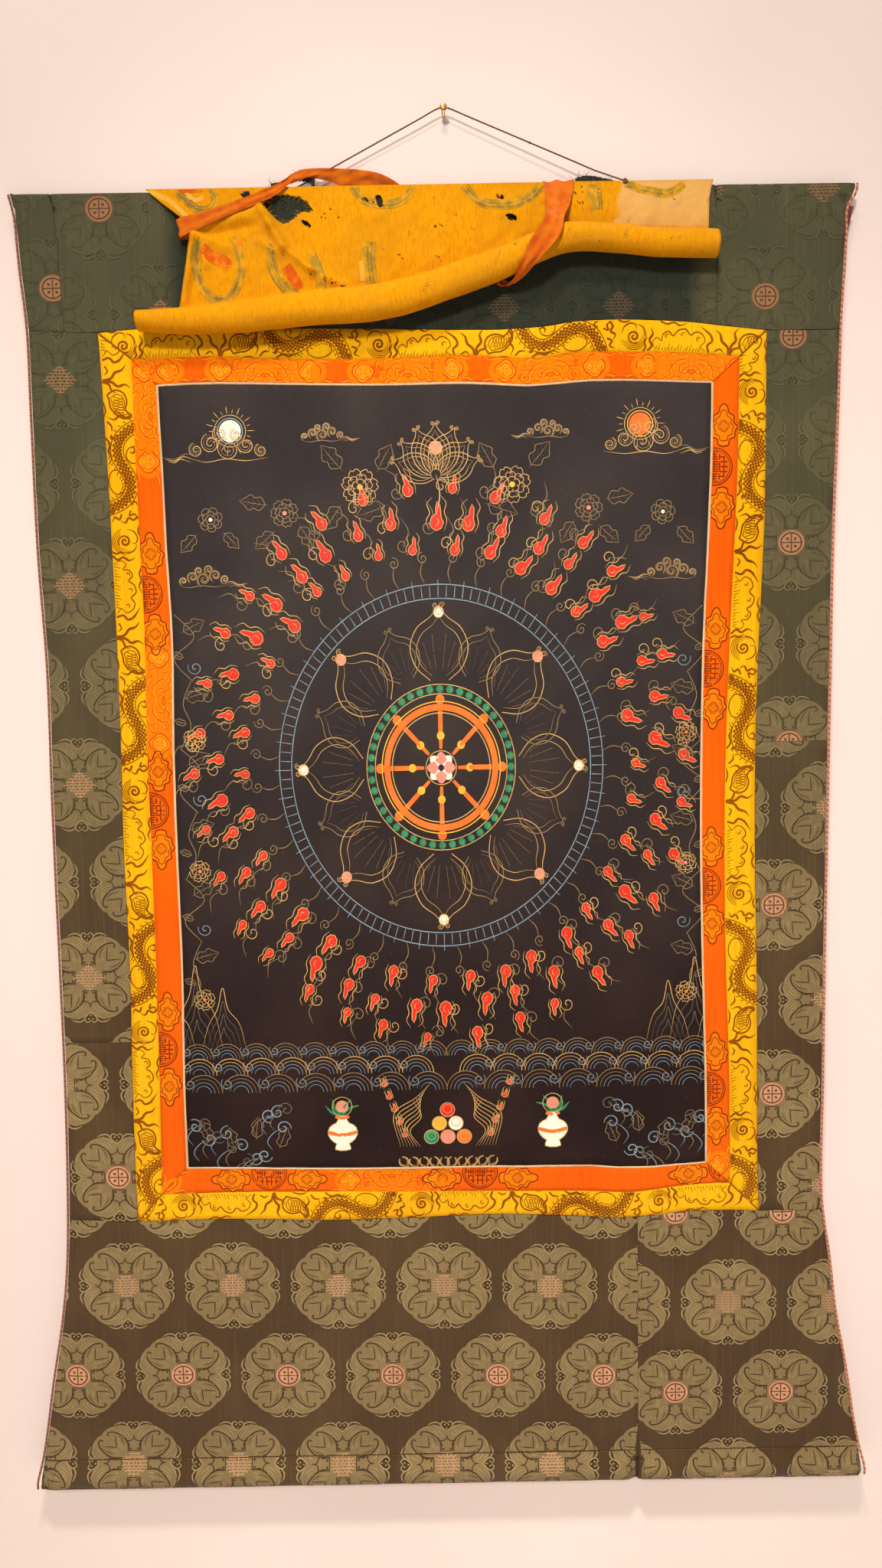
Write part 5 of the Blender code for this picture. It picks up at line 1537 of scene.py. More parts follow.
def paint_wheel():
    wheel = Drawing(0.0035)
    draw = np.random.default_rng(11)
    hub = 0j
    for k in range(8):
        angle = k * math.pi / 4
        way = cmath.exp(1j * angle)
        petal(wheel, 0.092 * way, angle - math.pi / 2, 0.078, 0.068, GOLD, 3)
        spoke = [0.020 * way, 0.030 * way, 0.044 * way, 0.060 * way]
        wheel.stroke(spoke, 0.0052, ORANGE, 0.7, 1.2, False)
        wheel.disc(0.034 * way, 0.0046, YELLOW, 10)
        wheel.disc(0.072 * way, 0.0054, ORANGE, 12)
        jewel(wheel, 0.163 * way, 0.0058, (WHITE, PINK)[k % 2])
        between = way * cmath.exp(0.125j * math.pi)
        petal(wheel, 0.100 * between, angle + math.pi / 8 - math.pi / 2, 0.056, 0.050, DIM, 2)
        hub_petal = through(moved(HUB_PETAL, 0, angle - math.pi / 2, 0.0155), 0.002)[:-1]
        wheel.fill(hub_petal, (PINK, WHITE)[k % 2])
    for reach, width, ink in ((0.058, 0.0012, GOLD), (0.064, 0.0070, ORANGE), (0.070, 0.0012, YELLOW),
                              (0.078, 0.0010, GOLD), (0.088, 0.0010, GOLD), (0.018, 0.0010, GOLD)):
        wheel.ring(hub, reach, width, ink, 72)
    for k in range(44):
        spot = 0.083 * cmath.exp(1j * k / 44 * 2 * math.pi)
        wheel.disc(spot, 0.0043, GREEN, 8)
        wheel.disc(spot + 0.0012, 0.0016, DIM, 6)
    for reach in (0.177, 0.1915):
        wheel.ring(hub, reach, 0.0011, BLUE_GREY, 96)
    for k in range(120):
        way = cmath.exp(1j * k / 120 * 2 * math.pi)
        wheel.stroke([0.1785 * way, (0.190 if k % 3 else 0.1965) * way], 0.0011, BLUE_GREY, 0.9, 0.5, False)
    for k in range(40):
        angle = (k + 0.5) / 40 * 2 * math.pi
        way = cmath.exp(1j * angle)
        fold = [0.1915 * way, 0.204 * way * cmath.exp(0.02j), 0.217 * way]
        wheel.stroke(fold, 0.0010, DIM)
        curl(wheel, 0.219 * way, angle, 0.0065, DIM, k % 2 == 0)
    for ring, (reach, count, size) in enumerate(FLAME_ROWS):
        for k in range(count):
            angle = (k + 0.5 * (ring % 2) + 0.25 * draw.random()) / count * 2 * math.pi
            spot = (reach + 0.009 * (draw.random() - 0.5)) * cmath.exp(1j * angle)
            lean = angle - math.pi / 2 + 0.5 * (draw.random() - 0.5) - 0.35 * math.cos(angle)
            flame(wheel, spot, lean, size * (0.8 + 0.4 * draw.random()))
            swirl = spot * (1 + 0.05 * (draw.random() - 0.5)) * cmath.exp(0.5j * math.pi / count)
            curl(wheel, swirl, lean, 0.0085, (GOLD, DIM)[k % 2], k % 2 == 0, FINE_LINE, 1.2)
            tail = [swirl, swirl + 0.016 * cmath.exp(1j * (lean + 1.2)),
                    swirl + 0.028 * cmath.exp(1j * (lean + 1.7))]
            wheel.stroke(tail, FINE_LINE * 0.9, DIM)
    made = Drawing()
    made.add(WHEEL + wheel.spots.real + 1j * WHEEL_TALL * wheel.spots.imag, wheel.faces, wheel.inks)
    return made


def paint_sky():
    half = Drawing(0.0035)
    cloud(half, 0.238 - 0.372j, 0.040, False, GOLD, DIM)
    cloud(half, 0.272 - 0.520j, 0.026, True, DIM, GOLD)
    cloud(half, 0.130 - 0.358j, 0.022, True, DIM, GOLD)
    peony(half, 0.088 - 0.418j, 0.3, 0.021, GOLD, YELLOW)
    peony(half, 0.176 - 0.446j, 0.9, 0.016, DIM, PINK)
    peony(half, 0.262 - 0.452j, 0.1, 0.014, DIM, WHITE)
    for x, z, turn, size in ((0.060, -0.440, -1.9, 0.036), (0.112, -0.440, -2.5, 0.034),
                             (0.066, -0.398, 0.5, 0.032), (0.110, -0.396, -0.7, 0.034),
                             (0.198, -0.436, -1.4, 0.030), (0.158, -0.462, 2.6, 0.028),
                             (0.190, -0.468, -2.3, 0.028), (0.246, -0.468, 2.4, 0.024),
                             (0.280, -0.470, -2.4, 0.026)):
        leaf(half, complex(x, z), turn, size, DIM)
    for k in range(6):
        z = -0.560 - 0.078 * k
        sway = 0.008 * (-1)**k
        half.stroke([(0.300 + sway, z), (0.294 - sway, z - 0.026), (0.302 + sway, z - 0.052),
                     (0.298 - sway, z - 0.078)], FINE_LINE, DIM, 0.9, 0.9)
        leaf(half, complex(0.298, z - 0.020), 1.1 + 0.2 * (k % 2), 0.028, DIM)
        leaf(half, complex(0.300, z - 0.050), -1.2, 0.014, DIM)
        if k % 2:
            peony(half, complex(0.290, z - 0.070), 0.2 * k, 0.013, GOLD, (PINK, ORANGE)[k % 4 == 1])
        else:
            curl(half, complex(0.286, z - 0.062), 0.4, 0.009, BLUE_GREY)
    made = Drawing(0.0035)
    made.stamp(half, complex(PICTURE_X, 0))
    made.stamp(half, complex(PICTURE_X, 0), flip=True)
    crown = complex(PICTURE_X, -0.405)
    for k, turn in enumerate((-1.25, 1.25, -0.82, 0.82, -0.40, 0.40, 0.0)):
        petal(made, crown, turn, 0.058 - 0.004 * abs(turn), 0.034, GOLD, 2)
    jewel(made, crown + 0.030j, 0.0075, PINK)
    made.stroke([crown, crown - 0.022j + 0.004, crown - 0.046j], FINE_LINE * 1.4, GOLD)
    sun, moon = complex(PICTURE_X + 0.236, -0.352), complex(PICTURE_X - 0.236, -0.352)
    for disc, ink, rim in ((sun, ORANGE, YELLOW), (moon, WHITE, BLUE_GREY)):
        made.disc(disc, 0.0125, ink, 26)
        made.ring(disc, 0.0145, 0.0012, rim, 30)
        made.ring(disc, 0.0180, 0.0009, GOLD, 34)
        for k in range(22):
            way = cmath.exp(1j * k / 22 * 2 * math.pi)
            made.stroke([disc + 0.0195 * way, disc + (0.0245 if k % 2 else 0.0285) * way], 0.0009, GOLD)
    return made


def wave_row(drawing, z, left, right, count, size, ink, shade):
    """Curling crests in a row, with the lines of the swell under them."""
    for k in range(count):
        x = mix(left, right, (k + 0.5) / count)
        for depth in range(4):
            reach = size * (1 - 0.2 * depth)
            arc = complex(x, z - 0.1 * size) + reach * np.exp(1j * np.linspace(math.pi, 0.15, 12))
            drawing.stroke(list(arc), FINE_LINE * (1.1 if depth == 0 else 0.7), ink if depth < 2 else shade,
                           0.8, 0.4, False)
        curl(drawing, complex(x + 0.72 * size, z + 0.42 * size), 0.8, 0.34 * size, shade, False)


def vase(drawing, place, size):
    """A white vase with an orange band, green leaves and a jewel above it."""
    body = through(moved([(0.16, 0.95), (0.20, 0.72), (0.52, 0.50), (0.60, 0.22), (0.40, -0.12),
                          (0.24, -0.24), (0.34, -0.40), (-0.34, -0.40), (-0.24, -0.24), (-0.40, -0.12),
                          (-0.60, 0.22), (-0.52, 0.50), (-0.20, 0.72), (-0.16, 0.95), (0.16, 0.95)],
                         place, 0, size), size / 6)
    drawing.fill(body[:-1], WHITE, 2)
    drawing.stroke(list(body), FINE_LINE * 1.1, GOLD, 1, 1, False)
    drawing.stroke(moved([(-0.58, 0.26), (0, 0.14), (0.58, 0.26)], place, 0, size), 0.15 * size, ORANGE, 1, 1)
    drawing.stroke(moved([(-0.28, 0.92), (0, 0.86), (0.28, 0.92)], place, 0, size), 0.12 * size, ORANGE, 1, 1)
    for turn in (-1.0, -0.5, 0.5, 1.0):
        spray = moved([(0, 0), (0.1, 0.4), (0, 0.8)], place + 0.95j * size, turn, size)
        drawing.stroke(spray, 0.10 * size, GREEN, 0.5, 0.3)
    jewel(drawing, place + 1.35j * size, 0.24 * size, PINK)
    drawing.ring(place + 1.35j * size, 0.40 * size, FINE_LINE, GOLD, 18)


# Peaks at each side of the shore: how far from the middle, how high and how wide
Peak = namedtuple("Peak", "x high wide")
PEAKS = [Peak(0.300, 0.100, 0.030), Peak(0.268, 0.072, 0.026), Peak(0.326, 0.066, 0.022)]


def paint_shore():
    half = Drawing(0.0035)
    for row, (z, size) in enumerate(((-1.092, 0.019), (-1.112, 0.021), (-1.134, 0.023))):
        wave_row(half, z, 0.0 + 0.018 * (row % 2), 0.318, 9 - row, size, (DIM, GOLD)[row % 2], BLUE_GREY)
    for x, high, wide in PEAKS:
        foot = complex(x, -1.078)
        for step in range(4):
            t = 1 - 0.22 * step
            ridge = [(-wide * t, 0), (-0.62 * wide * t, 0.46 * high * t), (-0.28 * wide * t, 0.60 * high * t),
                     (0, high * t), (0.30 * wide * t, 0.62 * high * t), (0.66 * wide * t, 0.40 * high * t),
                     (wide * t, 0)]
            half.stroke(moved(ridge, foot, 0, 1.0), FINE_LINE, PEAK if step else GOLD)
    vase(half, 0.128 - 1.196j, 0.030)
    for k in range(14):
        spot = complex(0.196 + 0.118 * ((k * 0.618) % 1.0), -1.158 - 0.070 * ((k * 0.41) % 1.0))
        curl(half, spot, 1.7 * k, 0.0095, (BLUE_GREY, PEAK)[k % 3 == 0], k % 2 == 0, FINE_LINE * 1.5, 1.3)
        half.stroke([spot, spot + 0.012 - 0.006j, spot + 0.020 - 0.018j, spot + 0.014 - 0.028j],
                    FINE_LINE, (DIM, BLUE_GREY)[k % 2])
    for k in range(4):
        spot = complex(0.205 + 0.028 * k, -1.205 + 0.012 * (k % 2))
        leaf(half, spot, 0.4 - 0.3 * k, 0.026, DIM)
    made = Drawing(0.0035)
    made.stamp(half, complex(PICTURE_X, 0))
    made.stamp(half, complex(PICTURE_X, 0), flip=True)
    heap = complex(PICTURE_X, -1.196)
    for x, z, ink in ((-0.020, 0, GREEN), (0.020, 0, ORANGE), (0, 0, PINK), (-0.010, 0.017, YELLOW),
                      (0.010, 0.017, WHITE), (0, 0.034, RED)):
        jewel(made, heap + complex(x, z), 0.0088, ink)
    for side in (-1, 1):
        for k in range(7):
            lick = [(side * (0.034 + 0.004 * k), -0.012),
                    (side * (0.046 + 0.003 * k), 0.008 + 0.004 * k),
                    (side * (0.032 + 0.001 * k), 0.026 + 0.004 * k),
                    (side * (0.042 - 0.004 * k), 0.046 + 0.004 * k)]
            made.stroke(moved(lick, heap, 0, 1.0), FINE_LINE, GOLD)
        for k in range(5):
            flame(made, heap + complex(side * (0.052 + 0.006 * k), 0.004 + 0.016 * k), -0.3 * side, 0.0075)
            petal(made, heap + complex(side * (0.006 + 0.013 * k), -0.026), side * (2.9 - 0.1 * k),
                  0.014, 0.012, GOLD, 0)
    return made


def paint_finish(name, colour, worn, rough=0.45):
    """Paint that is thin in places, so that the dark canvas shows through."""
    finish = Finish("paint_" + name, rough, 0.0, 0.0, 0.25)
    rubbed = finish.between(finish.noise((420, 420, 420), 3.0), 0.52, 0.72)
    shade = finish.between(finish.noise((60, 60, 60), 2.0), 0.35, 0.65, 0.0, 0.35)
    tint = finish.blend(shade, colour, worn)
    tint = finish.blend(finish.math("MULTIPLY", rubbed, 0.55), tint, worn)
    return finish.done(tint, finish.weave(0.0011), 0.00006)


def make_painting():
    cloth = hung_cloth("painting", 0.0012, canvas_finish(), ["orange_border_top"])
    inks = [
        paint_finish("gold", srgb(196, 158, 96), srgb(128, 98, 58), 0.35),
        paint_finish("dim_gold", srgb(134, 112, 78), srgb(92, 74, 52), 0.4),
        paint_finish("red", srgb(226, 42, 20), srgb(160, 26, 14)),
        paint_finish("blue_grey", srgb(124, 146, 160), srgb(78, 92, 108)),
        paint_finish("white", srgb(246, 234, 214), srgb(206, 190, 168)),
        paint_finish("pink", srgb(238, 140, 122), srgb(198, 96, 84)),
        paint_finish("orange", srgb(236, 116, 34), srgb(190, 78, 20)),
        paint_finish("green", srgb(24, 138, 92), srgb(10, 82, 58)),
        paint_finish("yellow", srgb(236, 176, 52), srgb(190, 132, 34)),
        paint_finish("peak", srgb(92, 84, 70), srgb(62, 56, 52)),
    ]
    lines, fills = 0.00042, 0.00028
    levels = [lines, lines, fills, lines - 0.00002, fills, 0.00034, 0.00032, 0.00030, 0.00038, lines]
    for name, drawing in (("wheel", paint_wheel()), ("sky", paint_sky()), ("shore", paint_shore())):
        lay("painted_" + name, drawing, cloth, inks, levels)
    return cloth


# The veil, in world metres: its two side edges by height, and its roll by place along it
VeilSide = namedtuple("VeilSide", "z left right")
VEIL_SIDES = [
    VeilSide(-0.220, -0.304, 0.297), VeilSide(-0.186, -0.296, 0.297),
    VeilSide(-0.154, -0.291, 0.297), VeilSide(-0.134, -0.288, 0.297),
    VeilSide(-0.124, -0.294, 0.297), VeilSide(-0.106, -0.314, 0.298),
    VeilSide(-0.084, -0.339, 0.303),
]
RollStation = namedtuple("RollStation", "x top foot")
ROLL = [
    RollStation(-0.348, -0.2225, -0.2445), RollStation(-0.314, -0.2210, -0.2480),
    RollStation(-0.237, -0.2135, -0.2485), RollStation(-0.159, -0.2045, -0.2425),
    RollStation(-0.060, -0.1950, -0.2350), RollStation(0.014, -0.1750, -0.2130),
    RollStation(0.066, -0.1580, -0.1950), RollStation(0.100, -0.1455, -0.1800),
    RollStation(0.136, -0.1360, -0.1680), RollStation(0.189, -0.1390, -0.1690),
    RollStation(0.235, -0.1430, -0.1740), RollStation(0.303, -0.1465, -0.1765),
]
VEIL_HEAD_Z = -0.0850
ROLL_DEPTH = 0.0175
ROLL_MIDDLE_Y = -0.0428
ROLL_TURNS = 2.3
ROLL_TIGHTENS = 0.085
ROLL_START_DEGREES = 150
VEIL_CREASE_SHARE = 1.4
VEIL_STANDS_OUT = 0.0006
VEIL_COLUMNS, VEIL_ROWS, ROLL_ROWS = 250, 58, 84
VEIL_THREADS = 0.0003

# Creases of the veil, from its gathered left edge and under its ribbons
VEIL_CREASES = [
    Crease(-0.286, -0.134, -0.200, -0.110, 0.007, 0.0036),
    Crease(-0.284, -0.137, -0.214, -0.128, 0.0045, -0.0024),
    Crease(-0.284, -0.138, -0.246, -0.152, 0.006, 0.0030),
    Crease(-0.280, -0.140, -0.271, -0.170, 0.0045, 0.0034),
    Crease(-0.284, -0.142, -0.299, -0.213, 0.004, 0.0030),
    Crease(-0.278, -0.146, -0.290, -0.212, 0.0045, -0.0020),
    Crease(-0.312, -0.100, -0.286, -0.122, 0.005, 0.0030),
    Crease(-0.300, -0.098, -0.280, -0.118, 0.005, -0.0020),
    Crease(-0.209, -0.108, -0.197, -0.130, 0.0045, 0.0042),
    Crease(-0.197, -0.130, -0.183, -0.154, 0.0045, 0.0046),
    Crease(-0.183, -0.154, -0.152, -0.178, 0.0045, 0.0044),
    Crease(-0.152, -0.178, -0.118, -0.194, 0.005, 0.0034),
    Crease(-0.190, -0.112, -0.174, -0.150, 0.006, -0.0022),
    Crease(-0.213, -0.144, -0.184, -0.163, 0.004, 0.0022),
    Crease(-0.120, -0.100, -0.112, -0.192, 0.012, 0.0014),
    Crease(-0.060, -0.094, -0.052, -0.190, 0.014, -0.0014),
    Crease(0.000, -0.096, -0.010, -0.166, 0.012, 0.0014),
    Crease(0.052, -0.092, 0.040, -0.150, 0.010, -0.0012),
    Crease(0.096, -0.100, 0.090, -0.136, 0.006, 0.0016),
    Crease(0.158, -0.098, 0.162, -0.132, 0.006, 0.0014),
    Crease(0.232, -0.092, 0.226, -0.136, 0.012, 0.0014),
    Crease(0.268, -0.092, 0.276, -0.140, 0.008, -0.0010),
]

# Holes worn through the veil: outlines, or ovals as centre and half sizes
BIG_HOLE = [
    (-0.210, -0.1035), (-0.200, -0.0975), (-0.189, -0.0940), (-0.174, -0.0945),
    (-0.161, -0.0985), (-0.153, -0.1050), (-0.151, -0.1130), (-0.163, -0.1140),
    (-0.169, -0.1185), (-0.174, -0.1230), (-0.188, -0.1240), (-0.196, -0.1170),
]
Oval = namedtuple("Oval", "x z half_width half_height turn")
SMALL_HOLES = [
    Oval(-0.2240, -0.0940, 0.0050, 0.0062, 0.3),
    Oval(-0.1570, -0.1265, 0.0065, 0.0026, -0.6),
    Oval(-0.0740, -0.1030, 0.0036, 0.0080, 0.2),
    Oval(0.0740, -0.1240, 0.0070, 0.0036, -0.3),
    Oval(-0.0890, -0.1010, 0.0020, 0.0034, 0.6),
    Oval(0.0640, -0.1010, 0.0026, 0.0034, -0.5),
    Oval(-0.1290, -0.1120, 0.0018, 0.0014, 0.0),
    Oval(-0.0120, -0.1330, 0.0014, 0.0020, 0.0),
]

# Brush strokes of dye on the veil, and the specks where its threads have gone
OLIVE, DEEP_OLIVE, RUST, BLUSH, STAIN = range(5)
Brush = namedtuple("Brush", "line width ink")
DYE_STROKES = [
    Brush([(-0.279, -0.143), (-0.283, -0.164), (-0.281, -0.183), (-0.273, -0.200), (-0.260, -0.208),
           (-0.246, -0.204), (-0.235, -0.189), (-0.232, -0.170), (-0.235, -0.153), (-0.242, -0.141)],
          0.0100, OLIVE),
    Brush([(-0.194, -0.150), (-0.198, -0.163), (-0.194, -0.180), (-0.184, -0.195), (-0.172, -0.205),
           (-0.160, -0.207)], 0.0115, OLIVE),
    Brush([(-0.153, -0.158), (-0.146, -0.174), (-0.142, -0.188), (-0.141, -0.202)], 0.0110, OLIVE),
    Brush([(-0.087, -0.148), (-0.088, -0.168), (-0.085, -0.193)], 0.0150, OLIVE),
    Brush([(-0.096, -0.168), (-0.095, -0.190)], 0.0050, BLUSH),
    Brush([(-0.104, -0.086), (-0.093, -0.100), (-0.070, -0.107), (-0.048, -0.102), (-0.034, -0.088)],
          0.0105, OLIVE),
    Brush([(0.021, -0.087), (0.034, -0.102), (0.061, -0.110), (0.092, -0.104), (0.110, -0.088)],
          0.0110, OLIVE),
    Brush([(0.204, -0.088), (0.228, -0.098), (0.253, -0.100), (0.270, -0.090)], 0.0090, OLIVE),
    Brush([(-0.304, -0.088), (-0.290, -0.100), (-0.278, -0.109), (-0.264, -0.107), (-0.259, -0.096),
           (-0.266, -0.087)], 0.0085, OLIVE),
    Brush([(-0.292, -0.091), (-0.280, -0.098), (-0.272, -0.095)], 0.0050, BLUSH),
    Brush([(-0.274, -0.152), (-0.266, -0.160), (-0.252, -0.166), (-0.244, -0.172)], 0.0130, RUST),
    Brush([(-0.236, -0.150), (-0.230, -0.147)], 0.0060, RUST),
    Brush([(-0.181, -0.173), (-0.174, -0.185), (-0.166, -0.197)], 0.0120, RUST),
    Brush([(-0.301, -0.0865), (-0.287, -0.0875), (-0.273, -0.0865)], 0.0040, RUST),
    Brush([(-0.186, -0.186), (-0.176, -0.196), (-0.164, -0.203)], 0.0024, DEEP_OLIVE),
    Brush([(0.168, -0.088), (0.170, -0.118)], 0.0160, OLIVE),
    Brush([(-0.335, -0.0865), (-0.311, -0.0990), (-0.292, -0.1165), (-0.2865, -0.1225)], 0.0060, BLUSH),
]
Speck = namedtuple("Speck", "x z size")
VEIL_SPECKS = [
    Speck(-0.1361, -0.1197, 0.0026), Speck(-0.1213, -0.1207, 0.0022), Speck(-0.0923, -0.1011, 0.0024),
    Speck(-0.0776, -0.1049, 0.0034), Speck(-0.0131, -0.1001, 0.0014), Speck(-0.0051, -0.1334, 0.0022),
    Speck(-0.0399, -0.1399, 0.0018), Speck(-0.0516, -0.1636, 0.0026), Speck(-0.0094, -0.1679, 0.0020),
    Speck(-0.1529, -0.1828, 0.0016), Speck(-0.1834, -0.1624, 0.0016), Speck(-0.1369, -0.1889, 0.0024),
    Speck(-0.1270, -0.1914, 0.0030), Speck(-0.1160, -0.1960, 0.0034), Speck(-0.2782, -0.1740, 0.0022),
    Speck(0.0616, -0.1001, 0.0032), Speck(0.0641, -0.1245, 0.0016), Speck(0.1500, -0.0985, 0.0030),
    Speck(0.1520, -0.1100, 0.0026), Speck(0.1720, -0.0960, 0.0026), Speck(0.2580, -0.1080, 0.0016),
    Speck(0.2960, -0.1090, 0.0020), Speck(0.2050, -0.1330, 0.0018), Speck(-0.2900, -0.1040, 0.0020),
    Speck(-0.0720, -0.1570, 0.0012), Speck(0.0120, -0.1210, 0.0014), Speck(0.0300, -0.1360, 0.0012),
]
ROLL_BANDS = [(-0.022, 0.008), (0.056, 0.009), (0.134, 0.005), (0.191, 0.018), (0.253, 0.020)]


def read(table, at, value, where):
    """A smooth curve through a table's rows, read at many places."""
    rows = sorted((getattr(row, at), getattr(row, value)) for row in table)
    x, y = (np.array(column) for column in zip(*rows))
    slopes = np.gradient(y, x)
    where = np.clip(where, x[0], x[-1])
    i = np.clip(np.searchsorted(x, where, side="right") - 1, 0, len(x) - 2)
    span = x[i + 1] - x[i]
    k = (where - x[i]) / span
    rise = (2 * k**3 - 3 * k**2 + 1) * y[i] + (k**3 - 2 * k**2 + k) * span * slopes[i]
    return rise + (3 * k**2 - 2 * k**3) * y[i + 1] + (k**3 - k**2) * span * slopes[i + 1]


def oval_line(oval, count):
    turns = np.arange(count) / count * 2 * math.pi
    line = oval.half_width * np.cos(turns) + 1j * oval.half_height * np.sin(turns)
    return complex(oval.x, oval.z) + line * cmath.exp(1j * oval.turn)


def ragged(line, depth, seed):
    """A closed outline torn to an uneven edge."""
    draw = np.random.default_rng(seed)
    closed = through(list(line) + [line[0]], 0.0014)[:-1]
    middle = closed.mean()
    outwards = (closed - middle) / abs(closed - middle)
    return closed + outwards * depth * draw.normal(size=len(closed))


def veil_grid():
    """Rows of the veil's points: down its hanging part, then round its roll from behind."""
    surface = BVHTree.FromObject(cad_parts["veil"], bpy.context.evaluated_depsgraph_get())
    share = np.linspace(0, 1, VEIL_COLUMNS)
    roll_x = mix(ROLL[0].x, ROLL[-1].x, share)
    top, foot = read(ROLL, "x", "top", roll_x), read(ROLL, "x", "foot", roll_x)
    middle, half = (top + foot) / 2, (top - foot) / 2
    rows = []
    for k in range(VEIL_ROWS):
        t = k / (VEIL_ROWS - 1)
        z = mix(VEIL_HEAD_Z, top, t)
        x = mix(read(VEIL_SIDES, "z", "left", z), read(VEIL_SIDES, "z", "right", z), share)
        z = mix(VEIL_HEAD_Z, read(ROLL, "x", "top", x), t)
        y = []
        for spot_x, spot_z in zip(x, np.minimum(z, VEIL_HEAD_Z - 0.004)):
            hit = surface.ray_cast(Vector((spot_x, -1, spot_z + 0.0008)), Vector((0, 1, 0)))[0]
            y.append(hit.y if hit and hit.y > ROLL_MIDDLE_Y + 0.012 else np.nan)
        y = np.array(y)
        known = ~np.isnan(y)
        y = np.interp(share, share[known], y[known]) if known.any() else rows[-1][:, 1]
        rows.append(np.stack([x, y, z], axis=1))
    grid = np.array(rows)
    depth = grid[..., 1]
    for _ in range(3):
        depth[1:-1] = (depth[:-2] + 2 * depth[1:-1] + depth[2:]) / 4
        depth[:, 1:-1] = (depth[:, :-2] + 2 * depth[:, 1:-1] + depth[:, 2:]) / 4
    grid[..., 1] = depth
    x, z = grid[..., 0], grid[..., 2]
    fade = ease(VEIL_HEAD_Z, VEIL_HEAD_Z - 0.012, z)
    grid[..., 1] -= fade * (VEIL_CREASE_SHARE * creased(VEIL_CREASES, x, z) + 0.0007 * uneven(x, z, 0.024, 21)
                            + 0.0004 * uneven(x * 2, z * 0.7, 0.012, 22)) + VEIL_STANDS_OUT
    turns = []
    for k in range(ROLL_ROWS):
        t = k / (ROLL_ROWS - 1)
        angle = math.radians(ROLL_START_DEGREES) + t * ROLL_TURNS * 2 * math.pi
        reach = 1 - ROLL_TIGHTENS * t * ROLL_TURNS
        twist = 0.030 * uneven(roll_x + 0.012 * angle, 0.02 * angle * np.ones_like(roll_x), 0.05, 31)
        twist += 0.020 * uneven(roll_x * 0.6 - 0.010 * angle, 0.02 * angle * np.ones_like(roll_x), 0.018, 32)
        reach = reach * (1 + twist * min(1.0, 4 * t))
        y = ROLL_MIDDLE_Y - math.cos(angle) * ROLL_DEPTH * reach
        z = middle + math.sin(angle) * half * reach
        x = roll_x + 0.0016 * t * np.sign(0.5 - share) * abs(2 * share - 1)**8
        turns.append(np.stack([x, y, z], axis=1))
    last, first = grid[-1], turns[0]
    joins = [mix(last, first, ease(0, 1, k / 4)) for k in range(1, 4)]
    return np.concatenate([grid, joins, turns])


def open_holes(grid, holes):
    """Moves the points nearest a hole's rim onto it."""
    flat = grid[:VEIL_ROWS, :, 0] + 1j * grid[:VEIL_ROWS, :, 2]
    for hole in holes:
        reach = abs(hole - hole.mean()).max() + 0.006
        for i, j in zip(*np.nonzero(abs(flat - hole.mean()) < reach)):
            a, b = hole, np.roll(hole, -1)
            t = np.clip(((flat[i, j] - a) / (b - a)).real, 0, 1)
            rim = a + t * (b - a)
            k = abs(rim - flat[i, j]).argmin()
            if abs(rim[k] - flat[i, j]) < 0.0012:
                grid[i, j, 0], grid[i, j, 2] = rim[k].real, rim[k].imag


def make_veil():
    holes = [ragged(np.array([complex(*p) for p in BIG_HOLE]), 0.0009, 41)]
    holes += [ragged(oval_line(oval, 12), 0.0005, 42 + k) for k, oval in enumerate(SMALL_HOLES)]
    grid = veil_grid()
    open_holes(grid, holes)
    mesh = grid_mesh("veil", grid)
    shape = bmesh.new()
    shape.from_mesh(mesh)
    shape.faces.ensure_lookup_table()
    hanging = (VEIL_ROWS - 1) * (VEIL_COLUMNS - 1)
    centres = [face.calc_center_median() for face in shape.faces][:hanging]
    flat = np.array([complex(c.x, c.z) for c in centres])
    gone = np.zeros(hanging, bool)
    for hole in holes:
        gone |= inside(flat, hole)[0]
    worn = [shape.faces[k] for k in np.nonzero(gone)[0]]
    bmesh.ops.delete(shape, geom=worn, context="FACES")
    shape.to_mesh(mesh)
    shape.free()
    if mesh.polygons[0].normal.y > 0:
        mesh.flip_normals()
    left = [complex(read(VEIL_SIDES, "z", "left", z), z) for z in np.linspace(-0.086, -0.212, 16)]
    right = [complex(read(VEIL_SIDES, "z", "right", z), z) for z in np.linspace(-0.140, -0.086, 6)]
    low = [complex(x, read(ROLL, "x", "foot", x) + 0.002) for x in np.linspace(-0.344, 0.300, 60)]
    outline = np.array(left + [complex(-0.345, -0.2235)] + low + [complex(0.300, -0.148)] + right)
    cloth = Cloth("veil", mesh, outline, veil_finish(), ["mount_top_centre"], VEIL_THREADS, 0)
    cloth.holes = holes
    lay("veil_dye", veil_dye(), cloth, dye_finishes(), [0.0003, 0.00034, 0.00038, 0.00036, 0.0004])
    strands = fringe_round(holes, cloth)
    cloth.patterns.append(strands)
    return cloth


def dye_finishes():
    """Dye that has gone in unevenly and worn off in places."""
    made = []
    for name, deep, thin in (
        ("olive", srgb(164, 130, 36), srgb(214, 154, 20)),
        ("deep_olive", srgb(134, 108, 40), srgb(184, 138, 28)),
        ("rust", srgb(206, 88, 8), srgb(230, 128, 8)),
        ("blush", srgb(226, 168, 72), srgb(236, 170, 30)),
        ("stain", srgb(40, 30, 18), srgb(96, 62, 16)),
    ):
        finish = Finish("dye_" + name, 0.5, 0.1)
        brush = finish.between(finish.noise((110, 110, 90), 5.0), 0.40, 0.62)
        made.append(finish.done(finish.blend(brush, deep, thin), finish.weave(0.0007), 0.0001))
    return made


